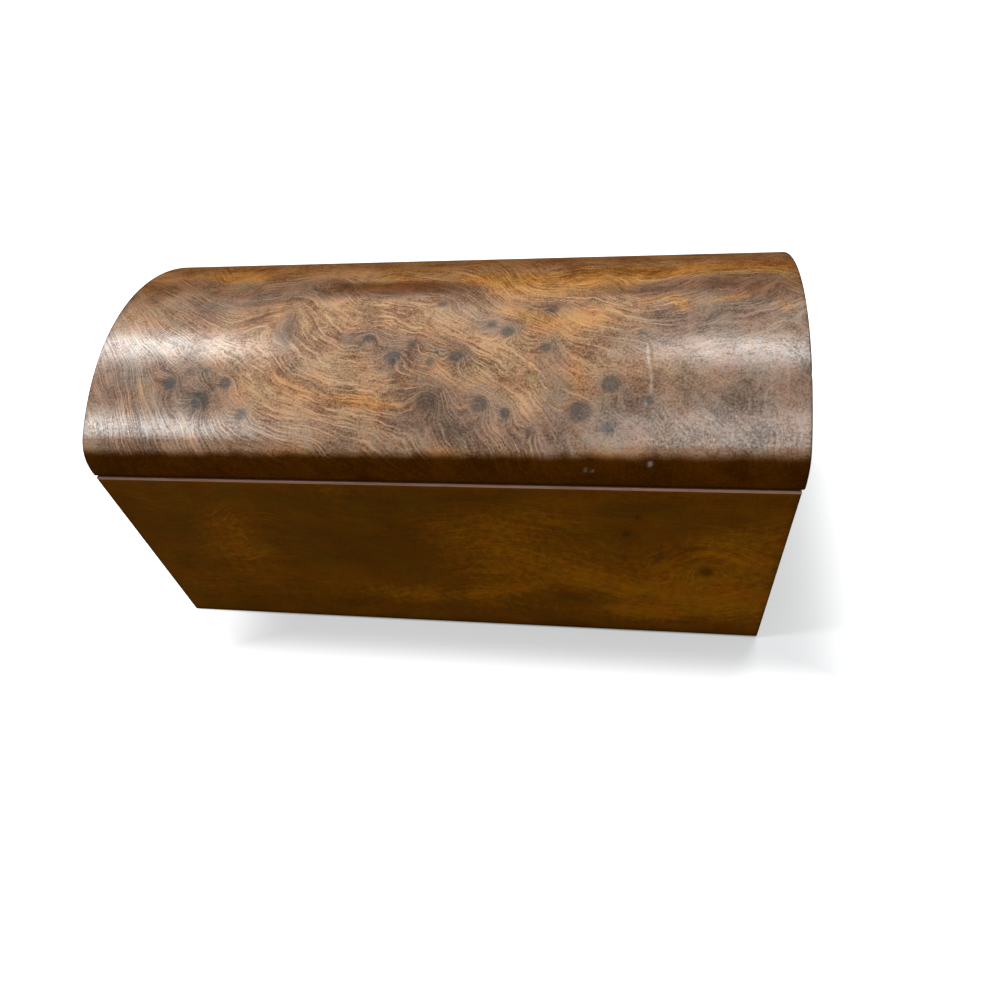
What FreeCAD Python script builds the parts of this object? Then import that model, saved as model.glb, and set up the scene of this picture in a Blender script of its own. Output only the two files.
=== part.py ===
import FreeCAD
import Part
import math
import os

# A small keepsake box with a hinged, domed lid, veneered in burl over plain boards.
#
# The base is four boards, lapped at the corners, with a board let into a rebate below,
# a baize underneath, a felt lining inside and a thin edging round the rim.
# The lid is coopered: two shoulder rails and a row of bevelled staves glued over two
# arched end boards, planed round and veneered. Two brass butt hinges join them at the
# back, where a V groove lets the lid open and then stops it, wood against wood.
#
# Millimetres. +Z is up, -Y is the front, and the origin is on the table, under the middle.

Vector = FreeCAD.Vector

# Base
base_length = 199.0
base_depth = 96.5
base_height = 69.4            # from the table to the top of the rim
wall_thickness = 9.0          # of the boards, without their veneer
veneer_thickness = 0.9
corner_lap = 4.5              # how far an end board enters a long board
bottom_thickness = 4.0
bottom_rebate = 4.5           # how far the bottom board enters the walls
edging_thickness = 0.6
edging_arris = 0.4            # rounding of the rim's edges
corner_arris = 0.45           # rounding of the veneer's corners
end_easing = 0.3              # flat taken off the edges of the lid's ends

# Soft linings
baize_thickness = 1.0
baize_inset = 1.5
lining_thickness = 1.2
lining_clearance = 0.3

# Lid
lid_gap = 0.4                 # between the closed lid and the rim
lid_end_overhang = 0.7
lid_front_setback = 0.3
lid_height = 22.4             # from the lid's own rim to its crown
lid_rim_height = 0.6          # the upright part below the shoulder
shoulder_radius = 11.5
rail_thickness = 9.0
rail_crown_angle = 5.0        # degrees of the crown that each rail takes
stave_thickness = 7.0
stave_count = 9
end_board_thickness = 9.0

# Hinges
hinge_from_end = 39.5         # from each end of the base to the middle of its hinge
hinge_length = 26.0
hinge_inset = 2.4             # from the back of the base to the hinge's axis
stop_angle = 101.0            # where the two bevels behind the axis would meet
barrel_radius = 2.0
knuckle_count = 5
knuckle_gap = 0.15
pin_radius = 0.9
pin_clearance = 0.05
leaf_thickness = 1.0
leaf_width = 6.2              # from the axis to the leaf's free edge
mortise_clearance = 0.15
recess_clearance = 0.2

# Hinge screws
screw_offset = 4.2            # from the hinge's axis
screw_spacing = 16.0          # between the two screws of one leaf
screw_length = 7.0
screw_head_radius = 1.7
screw_shank_radius = 0.8
screw_slot_width = 0.45
screw_slot_depth = 0.45

# Levels and planes that several pieces share
wall_foot = baize_thickness
wall_top = base_height - edging_thickness
floor_top = wall_foot + bottom_thickness
half_length = base_length / 2
half_depth = base_depth / 2
core_half_length = half_length - veneer_thickness
core_half_depth = half_depth - veneer_thickness
inner_half_length = core_half_length - wall_thickness
inner_half_depth = core_half_depth - wall_thickness

# The lid's outline: an upright rim, a shoulder arc and a crown arc, each tangent to the next
lid_foot = base_height + lid_gap
lid_half_length = half_length + lid_end_overhang
lid_middle = lid_front_setback / 2
lid_half_depth = half_depth - lid_front_setback / 2
rise = lid_height - lid_rim_height
shoulder_reach = lid_half_depth - shoulder_radius
crown_radius = (shoulder_reach**2 + rise**2 - shoulder_radius**2) / (2 * (rise - shoulder_radius))
crown_centre = lid_foot + lid_height - crown_radius
tangent_angle = math.asin(shoulder_reach / (crown_radius - shoulder_radius))
stave_limit = tangent_angle - math.radians(rail_crown_angle)
stave_inner_radius = crown_radius - veneer_thickness - stave_thickness
rail_inner = lid_half_depth - veneer_thickness - rail_thickness

# The hinges' axis
axis_y = half_depth - hinge_inset
axis_z = base_height + lid_gap / 2
hinge_places = (hinge_from_end - half_length, half_length - hinge_from_end)
BASE, LID = -1, 1             # below and above the hinges' axis

beyond = base_depth           # long enough for a cutting tool to pass right through


def block(x0, x1, y0, y1, z0, z1):
    """A box between two corners."""
    return Part.makeBox(x1 - x0, y1 - y0, z1 - z0, Vector(x0, y0, z0))


def along_x(edges, x0, x1):
    """A prism with the closed section that the edges draw in the plane x = 0."""
    face = Part.Face(Part.Wire(edges))
    face.translate(Vector(x0, 0, 0))
    return face.extrude(Vector(x1 - x0, 0, 0))


def polygon(points):
    """The closed ring of edges through points given as (y, z)."""
    return [line(a, b) for a, b in zip(points, points[1:] + points[:1])]


def line(start, end):
    """A straight edge in the plane x = 0 between two points given as (y, z)."""
    return Part.makeLine(Vector(0, *start), Vector(0, *end))


def arc(start, middle, end):
    """An arc in the plane x = 0 through three points given as (y, z)."""
    return Part.Arc(*(Vector(0, y, z) for y, z in (start, middle, end))).toShape()


def rounded(shape, radius, chosen):
    """The shape with a fillet on each edge whose middle passes the test."""
    edges = [edge for edge in shape.Edges if chosen(edge.CenterOfMass, edge)]
    return shape.makeFillet(radius, edges)


def near(a, b):
    """True if two lengths are the same but for rounding."""
    return abs(a - b) < 1e-4


def without(shape, tools):
    """The shape less each tool in turn, as one clean solid."""
    for tool in tools:
        shape = shape.cut(tool)
    return shape.removeSplitter()


def chamfered(shape, width, chosen):
    """The shape with a small flat on each edge whose middle passes the test."""
    edges = [edge for edge in shape.Edges if chosen(edge.CenterOfMass, edge)]
    return shape.makeChamfer(width, edges)


def upright(edge):
    """True for a straight edge that runs along Z."""
    ends = [vertex.Point for vertex in edge.Vertexes]
    return len(ends) == 2 and near(ends[0].x, ends[1].x) and near(ends[0].y, ends[1].y)


# Hinges

def screw_blank(x, side):
    """A countersunk screw without its slot, its head flush with the face of its leaf."""
    head_depth = screw_head_radius - screw_shank_radius
    shank_length = screw_length - head_depth
    down = Vector(0, 0, side)
    place = Vector(x, axis_y - screw_offset, axis_z + side * lid_gap / 2)
    head = Part.makeCone(screw_head_radius, screw_shank_radius, head_depth, place, down)
    place = place + down * head_depth
    shank = Part.makeCylinder(screw_shank_radius, shank_length, place, down)
    return head.fuse(shank).removeSplitter()


def pilot_hole(x, side):
    """The plain hole that a screw is driven into."""
    place = Vector(x, axis_y - screw_offset, axis_z + side * lid_gap / 2)
    return Part.makeCylinder(screw_shank_radius, screw_length, place, Vector(0, 0, side))


def screw(x, side):
    """A slotted countersunk screw."""
    face = axis_z + side * lid_gap / 2
    depth = face + side * screw_slot_depth
    y = axis_y - screw_offset
    slot = block(x - screw_head_radius, x + screw_head_radius,
                 y - screw_slot_width / 2, y + screw_slot_width / 2,
                 min(face, depth), max(face, depth))
    return screw_blank(x, side).cut(slot)


def screw_places():
    """The x of each screw on one side of the joint."""
    return [middle + end * screw_spacing / 2 for middle in hinge_places for end in (-1, 1)]


def knuckles(middle, side):
    """(start, end) along X of the knuckles that belong to one side: the base has the outer ones."""
    length = (hinge_length - (knuckle_count - 1) * knuckle_gap) / knuckle_count
    first = 0 if side == BASE else 1
    starts = [middle - hinge_length / 2 + n * (length + knuckle_gap)
              for n in range(first, knuckle_count, 2)]
    return [(start, start + length) for start in starts]


def barrel(radius, x0, x1):
    """A cylinder on the hinges' axis."""
    return Part.makeCylinder(radius, x1 - x0, Vector(x0, axis_y, axis_z), Vector(1, 0, 0))


def leaf_plate(middle, side, extra=0.0, depth=leaf_thickness):
    """The flat of a leaf, or the mortise that takes it."""
    inner = axis_z + side * lid_gap / 2
    outer = inner + side * depth
    return block(middle - hinge_length / 2 - extra, middle + hinge_length / 2 + extra,
                 axis_y - leaf_width, axis_y, min(inner, outer), max(inner, outer))


def hinge_leaf(middle, side):
    """One leaf with its knuckles, bored for the pin and countersunk for its screws."""
    own = [barrel(barrel_radius, x0, x1) for x0, x1 in knuckles(middle, side)]
    others = [barrel(barrel_radius + knuckle_gap, x0 - knuckle_gap, x1 + knuckle_gap)
              for x0, x1 in knuckles(middle, -side)]
    plate = without(leaf_plate(middle, side), others)
    ends = middle - hinge_length, middle + hinge_length
    bore = barrel(pin_radius + pin_clearance, *ends)
    screws = [screw_blank(x, side) for x in screw_places()]
    return without(plate.fuse(own), [bore] + screws)


def hinge_pin(middle):
    """The pin, as long as the hinge."""
    return barrel(pin_radius, middle - hinge_length / 2, middle + hinge_length / 2)


def hinge_pockets(side):
    """What the hinges need cut from the wood: mortises, barrel recesses and screw holes."""
    tools = [pilot_hole(x, side) for x in screw_places()]
    reach = hinge_length / 2 + mortise_clearance
    for middle in hinge_places:
        tools.append(leaf_plate(middle, side, extra=mortise_clearance))
        tools.append(barrel(barrel_radius + recess_clearance, middle - reach, middle + reach))
    return tools


def stop_bevel(side):
    """The wedge cut from behind the axis, so that the lid can swing until the bevels meet."""
    run = beyond
    drop = side * run * math.tan(math.radians(stop_angle / 2))
    corners = [(axis_y, axis_z), (axis_y + run, axis_z), (axis_y + run, axis_z + drop)]
    return along_x(polygon(corners), -beyond * 2, beyond * 2)


# Base

def bottom_board():
    """The board that closes the base from below."""
    x = inner_half_length + bottom_rebate
    y = inner_half_depth + bottom_rebate
    return block(-x, x, -y, y, wall_foot, floor_top)


def end_wall(hand):
    """The left (-1) or right (1) board, which enters the long boards by the lap."""
    inner, outer = sorted((hand * inner_half_length, hand * core_half_length))
    reach = inner_half_depth + corner_lap
    wall = block(inner, outer, -reach, reach, wall_foot, wall_top)
    return without(wall, [bottom_board(), stop_bevel(BASE)])


def long_wall(hand):
    """The front (-1) or back (1) board, rebated for the end boards."""
    inner, outer = sorted((hand * inner_half_depth, hand * core_half_depth))
    wall = block(-core_half_length, core_half_length, inner, outer, wall_foot, wall_top)
    ends = [end_wall(-1), end_wall(1)]
    return without(wall, ends + [bottom_board(), stop_bevel(BASE)] + hinge_pockets(BASE))


def long_veneer(hand):
    """The front (-1) or back (1) veneer, which covers the end veneers' edges."""
    inner, outer = sorted((hand * core_half_depth, hand * half_depth))
    sheet = block(-half_length, half_length, inner, outer, wall_foot, wall_top)
    sheet = rounded(sheet, corner_arris,
                    lambda centre, edge: upright(edge) and near(abs(centre.y), half_depth))
    return without(sheet, [stop_bevel(BASE)] + hinge_pockets(BASE))


def end_veneer(hand):
    """The left (-1) or right (1) veneer."""
    inner, outer = sorted((hand * core_half_length, hand * half_length))
    sheet = block(inner, outer, -core_half_depth, core_half_depth, wall_foot, wall_top)
    return without(sheet, [stop_bevel(BASE)])


def rim_ring():
    """The whole edging before its mitres are cut, rounded along its upper edges."""
    outer = block(-half_length, half_length, -half_depth, half_depth, wall_top, base_height)
    inner = block(-inner_half_length, inner_half_length, -inner_half_depth, inner_half_depth,
                  wall_top, base_height)
    outer = rounded(outer, corner_arris, lambda centre, edge: upright(edge))
    ring = outer.cut(inner)
    return rounded(ring, edging_arris, lambda centre, edge: near(centre.z, base_height))


def mitred(along, hand):
    """The part of the plan between two mitres, as a tool for one strip of the edging."""
    width = wall_thickness + veneer_thickness
    if along == "x":
        long_edge, near_edge = half_length, half_depth
    else:
        long_edge, near_edge = half_depth, half_length
    middle = [(-long_edge, near_edge), (long_edge, near_edge),
              (long_edge - width, near_edge - width), (width - long_edge, near_edge - width)]
    places = [(a, hand * b) if along == "x" else (hand * b, a) for a, b in middle]
    corners = [Vector(x, y, wall_top) for x, y in places]
    face = Part.Face(Part.makePolygon(corners + corners[:1]))
    return face.extrude(Vector(0, 0, edging_thickness))


def edging(along, hand):
    """One mitred strip of the rim's edging."""
    strip = rim_ring().common(mitred(along, hand))
    return without(strip, [stop_bevel(BASE)] + hinge_pockets(BASE))


def baize():
    """The cloth glued under the base, which the box stands on."""
    x, y = half_length - baize_inset, half_depth - baize_inset
    return block(-x, x, -y, y, 0, wall_foot)


def floor_lining():
    """The felt pad on the floor inside."""
    x, y = inner_half_length - lining_clearance, inner_half_depth - lining_clearance
    return block(-x, x, -y, y, floor_top, floor_top + lining_thickness)


# Lid

def crown_point(radius, angle):
    """(y, z) at an angle from the top of an arc round the crown's centre."""
    return (lid_middle + radius * math.sin(angle), crown_centre + radius * math.cos(angle))


def shoulder_point(radius, angle, hand):
    """(y, z) on the front (-1) or back (1) shoulder, at an angle above the horizontal."""
    centre_y = lid_middle + hand * shoulder_reach
    centre_z = lid_foot + lid_rim_height
    return (centre_y + hand * radius * math.cos(angle), centre_z + radius * math.sin(angle))


def dome_section(inset):
    """The lid's closed section, a given depth below its outer surface."""
    crown, shoulder = crown_radius - inset, shoulder_radius - inset
    half = lid_half_depth - inset
    full_turn = math.pi / 2 - tangent_angle
    front_foot, back_foot = (lid_middle - half, lid_foot), (lid_middle + half, lid_foot)
    front_spring, back_spring = (shoulder_point(shoulder, 0, hand) for hand in (-1, 1))
    front_tangent, back_tangent = (crown_point(crown, a) for a in (-tangent_angle, tangent_angle))
    return [
        line(front_foot, front_spring),
        arc(front_spring, shoulder_point(shoulder, full_turn / 2, -1), front_tangent),
        arc(front_tangent, crown_point(crown, 0), back_tangent),
        arc(back_tangent, shoulder_point(shoulder, full_turn / 2, 1), back_spring),
        line(back_spring, back_foot),
        line(back_foot, front_foot),
    ]


def dome_block(inset, x0, x1):
    """A solid length of the lid, a given depth below its outer surface."""
    return along_x(dome_section(inset), x0, x1)


def lid_core():
    """Everything inside the lid's veneer, as one solid to be divided into boards."""
    reach = lid_half_length - veneer_thickness
    return dome_block(veneer_thickness, -reach, reach)


def stave_angles():
    """The angles of the joints between rail, staves and rail."""
    step = 2 * stave_limit / stave_count
    return [-stave_limit + n * step for n in range(stave_count + 1)]


def under_staves():
    """The space below the staves' flat inner faces, carried on past the last joints."""
    inner = [crown_point(stave_inner_radius, angle) for angle in stave_angles()]
    ends = []
    for hand, (y, z) in ((-1, inner[0]), (1, inner[-1])):
        run = lid_half_depth - hand * (y - lid_middle)
        ends.append((lid_middle + hand * lid_half_depth, z - run * math.tan(stave_limit)))
    floor_z = crown_centre
    corners = [ends[0]] + inner + [ends[1]]
    corners += [(ends[1][0], floor_z), (ends[0][0], floor_z)]
    return along_x(polygon(corners), -lid_half_length, lid_half_length)


def sector(start, end):
    """The wedge between two angles round the crown's centre."""
    far = 2 * crown_radius
    corners = [crown_point(0, 0), crown_point(far, start), crown_point(far, end)]
    return along_x(polygon(corners), -lid_half_length, lid_half_length)


def between_rails(x0, x1):
    """A length of the lid's hollow, before the end boards fill its ends."""
    room = block(x0, x1, lid_middle - rail_inner, lid_middle + rail_inner,
                 lid_foot, lid_foot + lid_height)
    return under_staves().common(room)


def lid_rail(hand):
    """The front (-1) or back (1) shoulder rail."""
    ends = sorted((lid_middle, lid_middle + hand * lid_half_depth))
    half = block(-lid_half_length, lid_half_length, ends[0], ends[1],
                 lid_foot, lid_foot + lid_height)
    hollow = between_rails(-lid_half_length, lid_half_length)
    rail = lid_core().common(half)
    cuts = [sector(-stave_limit, stave_limit), hollow]
    if hand > 0:
        cuts += [stop_bevel(LID)] + hinge_pockets(LID)
    return without(rail, cuts)


def lid_stave(number):
    """One bevelled stave, counted from the front."""
    angles = stave_angles()
    stave = lid_core().common(sector(angles[number], angles[number + 1]))
    return without(stave, [under_staves()])


def lid_end_board(hand):
    """The left (-1) or right (1) arched board under the staves."""
    outer = lid_half_length - veneer_thickness
    x0, x1 = sorted((hand * (outer - end_board_thickness), hand * outer))
    return between_rails(x0, x1)


def end_foot(centre, edge):
    """True for the lower edge of the lid's end."""
    return near(centre.z, lid_foot) and near(abs(centre.x), lid_half_length)


def lid_end_veneer(hand):
    """The left (-1) or right (1) end veneer of the lid, eased along its foot."""
    x0, x1 = sorted((hand * (lid_half_length - veneer_thickness), hand * lid_half_length))
    sheet = dome_block(veneer_thickness, x0, x1)
    return without(chamfered(sheet, end_easing, end_foot), [stop_bevel(LID)])


def over_the_end(centre, edge):
    """True for an edge of the lid's outline at either end, but not for its foot."""
    return near(abs(centre.x), lid_half_length) and not near(centre.z, lid_foot)


def front_foot(centre, edge):
    """True for the lower front edge of the lid."""
    return near(centre.z, lid_foot) and near(centre.y, lid_middle - lid_half_depth)


def dome_veneer():
    """The burl veneer bent over the lid, eased along its ends and rounded along its front foot."""
    outer = dome_block(0, -lid_half_length, lid_half_length)
    outer = rounded(outer, corner_arris, front_foot)
    outer = chamfered(outer, end_easing, over_the_end)
    inside = dome_block(veneer_thickness, -lid_half_length, lid_half_length)
    return without(outer, [inside, stop_bevel(LID)] + hinge_pockets(LID))


def group(shapes):
    """Several like solids that share one node."""
    return Part.makeCompound(shapes)


def pieces():
    """Every piece of the box, by name."""
    made = {
        "front_wall": long_wall(-1),
        "back_wall": long_wall(1),
        "left_wall": end_wall(-1),
        "right_wall": end_wall(1),
        "bottom_board": bottom_board(),
        "front_veneer": long_veneer(-1),
        "back_veneer": long_veneer(1),
        "left_end_veneer": end_veneer(-1),
        "right_end_veneer": end_veneer(1),
        "front_edging": edging("x", -1),
        "back_edging": edging("x", 1),
        "left_edging": edging("y", -1),
        "right_edging": edging("y", 1),
        "baize": baize(),
        "floor_lining": floor_lining(),
        "base_hinge_screws": group([screw(x, BASE) for x in screw_places()]),
        "lid_front_rail": lid_rail(-1),
        "lid_back_rail": lid_rail(1),
        "lid_left_end_board": lid_end_board(-1),
        "lid_right_end_board": lid_end_board(1),
        "lid_dome_veneer": dome_veneer(),
        "lid_left_end_veneer": lid_end_veneer(-1),
        "lid_right_end_veneer": lid_end_veneer(1),
        "lid_hinge_screws": group([screw(x, LID) for x in screw_places()]),
    }
    for number in range(stave_count):
        made[f"lid_stave_{number + 1}"] = lid_stave(number)
    for name, middle in zip(("left", "right"), hinge_places):
        made[f"{name}_hinge_base_leaf"] = hinge_leaf(middle, BASE)
        made[f"{name}_hinge_lid_leaf"] = hinge_leaf(middle, LID)
        made[f"{name}_hinge_pin"] = hinge_pin(middle)
    return made


os.makedirs("parts", exist_ok=True)
for name, shape in pieces().items():
    shape.exportStep(f"parts/{name}.step")
print("crown radius", round(crown_radius, 2), "height", round(lid_foot + lid_height, 2))
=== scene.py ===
import logging
import math
from dataclasses import dataclass, field, replace
from enum import Enum
from typing import Callable, Iterable, Optional, Sequence, Union

import bmesh
import bpy
import numpy as np
from mathutils import Matrix, Vector


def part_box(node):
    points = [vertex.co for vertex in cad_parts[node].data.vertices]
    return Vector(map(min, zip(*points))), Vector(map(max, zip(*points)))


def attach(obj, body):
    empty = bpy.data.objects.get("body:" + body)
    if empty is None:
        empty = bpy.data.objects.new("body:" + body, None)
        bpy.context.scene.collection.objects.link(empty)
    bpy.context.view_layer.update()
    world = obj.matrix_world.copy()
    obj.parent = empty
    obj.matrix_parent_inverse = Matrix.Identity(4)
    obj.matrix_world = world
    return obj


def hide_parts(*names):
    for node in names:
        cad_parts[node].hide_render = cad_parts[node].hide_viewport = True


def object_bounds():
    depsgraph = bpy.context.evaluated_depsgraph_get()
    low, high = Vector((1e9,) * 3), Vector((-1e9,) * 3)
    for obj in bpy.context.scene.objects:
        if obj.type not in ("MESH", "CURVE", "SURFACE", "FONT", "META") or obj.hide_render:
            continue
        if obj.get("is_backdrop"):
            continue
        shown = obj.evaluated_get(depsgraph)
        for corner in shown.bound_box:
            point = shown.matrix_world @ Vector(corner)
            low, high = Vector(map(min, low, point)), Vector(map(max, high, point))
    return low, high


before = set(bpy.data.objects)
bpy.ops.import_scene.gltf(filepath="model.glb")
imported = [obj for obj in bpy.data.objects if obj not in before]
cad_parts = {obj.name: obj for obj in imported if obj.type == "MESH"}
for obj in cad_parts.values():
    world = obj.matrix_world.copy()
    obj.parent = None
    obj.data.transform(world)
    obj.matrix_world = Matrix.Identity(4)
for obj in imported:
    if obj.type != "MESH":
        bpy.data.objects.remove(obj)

logging.basicConfig(level=logging.INFO, format="%(message)s")
log = logging.getLogger("box")

MM = 0.001
Colour = tuple[float, float, float]
Point = tuple[float, float, float]
Pair = tuple[float, float]
Value = Union[float, "bpy.types.NodeSocket"]
Locate = Callable[[float, float], Pair]
WHITE: Colour = (1.0, 1.0, 1.0)


class Tone(Enum):
    """What a patch of the burl looks like, by its place in the tones attribute."""

    SMOKE = 0
    GOLD = 1
    EYE = 2
    # Darker wood, and on the lid also painted shade towards its back
    DARK = 3


class Grain(Enum):
    """Which way a board's grain runs."""

    ALONG_X = 0
    ALONG_Y = 1


def shade(colour: Colour, share: float) -> Colour:
    """A colour made darker, or lighter where the share is over 1."""
    return tuple(share * part for part in colour)


# Node trees


class Nodes:
    """A node tree with short calls for the nodes that the finishes use."""

    def __init__(self, tree: bpy.types.NodeTree) -> None:
        """Takes the tree and clears it."""
        self.tree = tree
        tree.nodes.clear()

    def add(self, kind: str, **settings: object) -> bpy.types.Node:
        """Adds a node.

        Args:
            kind: the node's type name.
            settings: its own settings, by attribute name.

        Returns:
            The node.
        """
        node = self.tree.nodes.new(kind)
        for name, value in settings.items():
            setattr(node, name, value)
        return node

    def feed(self, socket: bpy.types.NodeSocket, value: object) -> None:
        """Feeds one input.

        Args:
            socket: the input.
            value: a socket to link to it, or a constant to write to it.
        """
        if isinstance(value, bpy.types.NodeSocket):
            self.tree.links.new(value, socket)
        elif socket.type == "RGBA":
            socket.default_value = (*value, 1.0)
        else:
            socket.default_value = value

    def put(self, node: bpy.types.Node, **values: object) -> bpy.types.Node:
        """Feeds a node's inputs by their names, with _ for a space, and returns the node."""
        for label, value in values.items():
            self.feed(node.inputs[label.replace("_", " ")], value)
        return node

    def math(self, operation: str, *values: Value) -> bpy.types.NodeSocket:
        """Adds one sum.

        Args:
            operation: which one.
            values: what its inputs get, in order.

        Returns:
            Its result.
        """
        node = self.add("ShaderNodeMath", operation=operation)
        for socket, value in zip(node.inputs, values):
            self.feed(socket, value)
        return node.outputs[0]

    def times(self, a: Value, b: Value) -> bpy.types.NodeSocket:
        """Multiplies a by b."""
        return self.math("MULTIPLY", a, b)

    def blend(self, a: Value, b: Value, c: Value) -> bpy.types.NodeSocket:
        """Multiplies a by b and adds c."""
        return self.math("MULTIPLY_ADD", a, b, c)

    def total(self, *values: Value) -> bpy.types.NodeSocket:
        """Adds values up, one after another."""
        found = values[0]
        for value in values[1:]:
            found = self.math("ADD", found, value)
        return found

    def swing(self, noise: Value, reach: float) -> bpy.types.NodeSocket:
        """A noise's departure from its middle, times a reach."""
        return self.times(self.math("SUBTRACT", noise, 0.5), reach)

    def vector_math(self, operation: str, a: object, b: object) -> bpy.types.NodeSocket:
        """Adds one vector sum of a and b and returns its result."""
        node = self.add("ShaderNodeVectorMath", operation=operation)
        for socket, value in zip(node.inputs, (a, b)):
            self.feed(socket, value)
        return node.outputs[0]

    def split(self, kind: str, value: Value) -> Sequence[bpy.types.NodeSocket]:
        """The three parts of a vector, for the kind XYZ, or of a colour, for the kind Color."""
        node = self.add(f"ShaderNodeSeparate{kind}")
        self.feed(node.inputs[0], value)
        return node.outputs

    def join(self, x: Value = 0.0, y: Value = 0.0, z: Value = 0.0) -> bpy.types.NodeSocket:
        """A vector of three parts."""
        return self.put(self.add("ShaderNodeCombineXYZ"), X=x, Y=y, Z=z).outputs[0]

    def mix(self, share: Value, a: object, b: object, how: str = "MIX") -> bpy.types.NodeSocket:
        """Mixes two colours.

        Args:
            share: how much of the second is taken, from 0 to 1.
            a: the first colour.
            b: the second colour.
            how: the way in which the second is laid on the first.

        Returns:
            The mixed colour.
        """
        node = self.add("ShaderNodeMix", data_type="RGBA", blend_type=how)
        for socket, value in ((node.inputs[0], share), (node.inputs[6], a), (node.inputs[7], b)):
            self.feed(socket, value)
        return node.outputs[2]

    def noise(self, vector: object, scale: float, detail: float = 2.0,
              rough: float = 0.5, twist: float = 0.0) -> bpy.types.NodeSocket:
        """Adds a noise texture.

        Args:
            vector: the coordinates it is drawn on.
            scale: how many of its lumps there are to a unit of length.
            detail: how many finer noises are added.
            rough: how strong each finer one is.
            twist: how far it is distorted.

        Returns:
            Its value, from about 0.2 to 0.8.
        """
        node = self.add("ShaderNodeTexNoise")
        return self.put(node, Vector=vector, Scale=scale, Detail=detail, Roughness=rough,
                        Distortion=twist).outputs["Fac"]

    def step(self, value: Value, low: Value, high: Value, first: Value = 0.0,
             last: Value = 1.0) -> bpy.types.NodeSocket:
        """Maps a value smoothly from low..high to first..last, held at the ends."""
        node = self.add("ShaderNodeMapRange", interpolation_type="SMOOTHSTEP")
        for socket, number in zip(node.inputs[:5], (value, low, high, first, last)):
            self.feed(socket, number)
        return node.outputs[0]

    def stretch(self, vector: object, scale: Point, turn: float = 0.0,
                shift: float = 0.0) -> bpy.types.NodeSocket:
        """Scales coordinates.

        Args:
            vector: the coordinates.
            scale: by how much, each way.
            turn: a turn about Z before that, in degrees.
            shift: how far they are moved, all ways alike.

        Returns:
            The new coordinates.
        """
        node = self.add("ShaderNodeMapping")
        return self.put(node, Vector=vector, Scale=scale, Location=(shift, shift, shift),
                        Rotation=(0.0, 0.0, math.radians(turn))).outputs[0]


FLOAT, VECTOR, RGBA = "NodeSocketFloat", "NodeSocketVector", "NodeSocketColor"


def new_group(name: str, inputs: dict[str, str], outputs: dict[str, str]) -> tuple[
        Nodes, Sequence[bpy.types.NodeSocket], bpy.types.Node]:
    """Starts a shader node group.

    Args:
        name: the group's name.
        inputs: socket type by input name.
        outputs: socket type by output name.

    Returns:
        The group's nodes, the sockets that bring its inputs, and its output node.
    """
    tree = bpy.data.node_groups.new(name, "ShaderNodeTree")
    for direction, sockets in (("INPUT", inputs), ("OUTPUT", outputs)):
        for label, kind in sockets.items():
            tree.interface.new_socket(label, in_out=direction, socket_type=kind)
    nodes = Nodes(tree)
    return nodes, nodes.add("NodeGroupInput").outputs, nodes.add("NodeGroupOutput")


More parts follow.
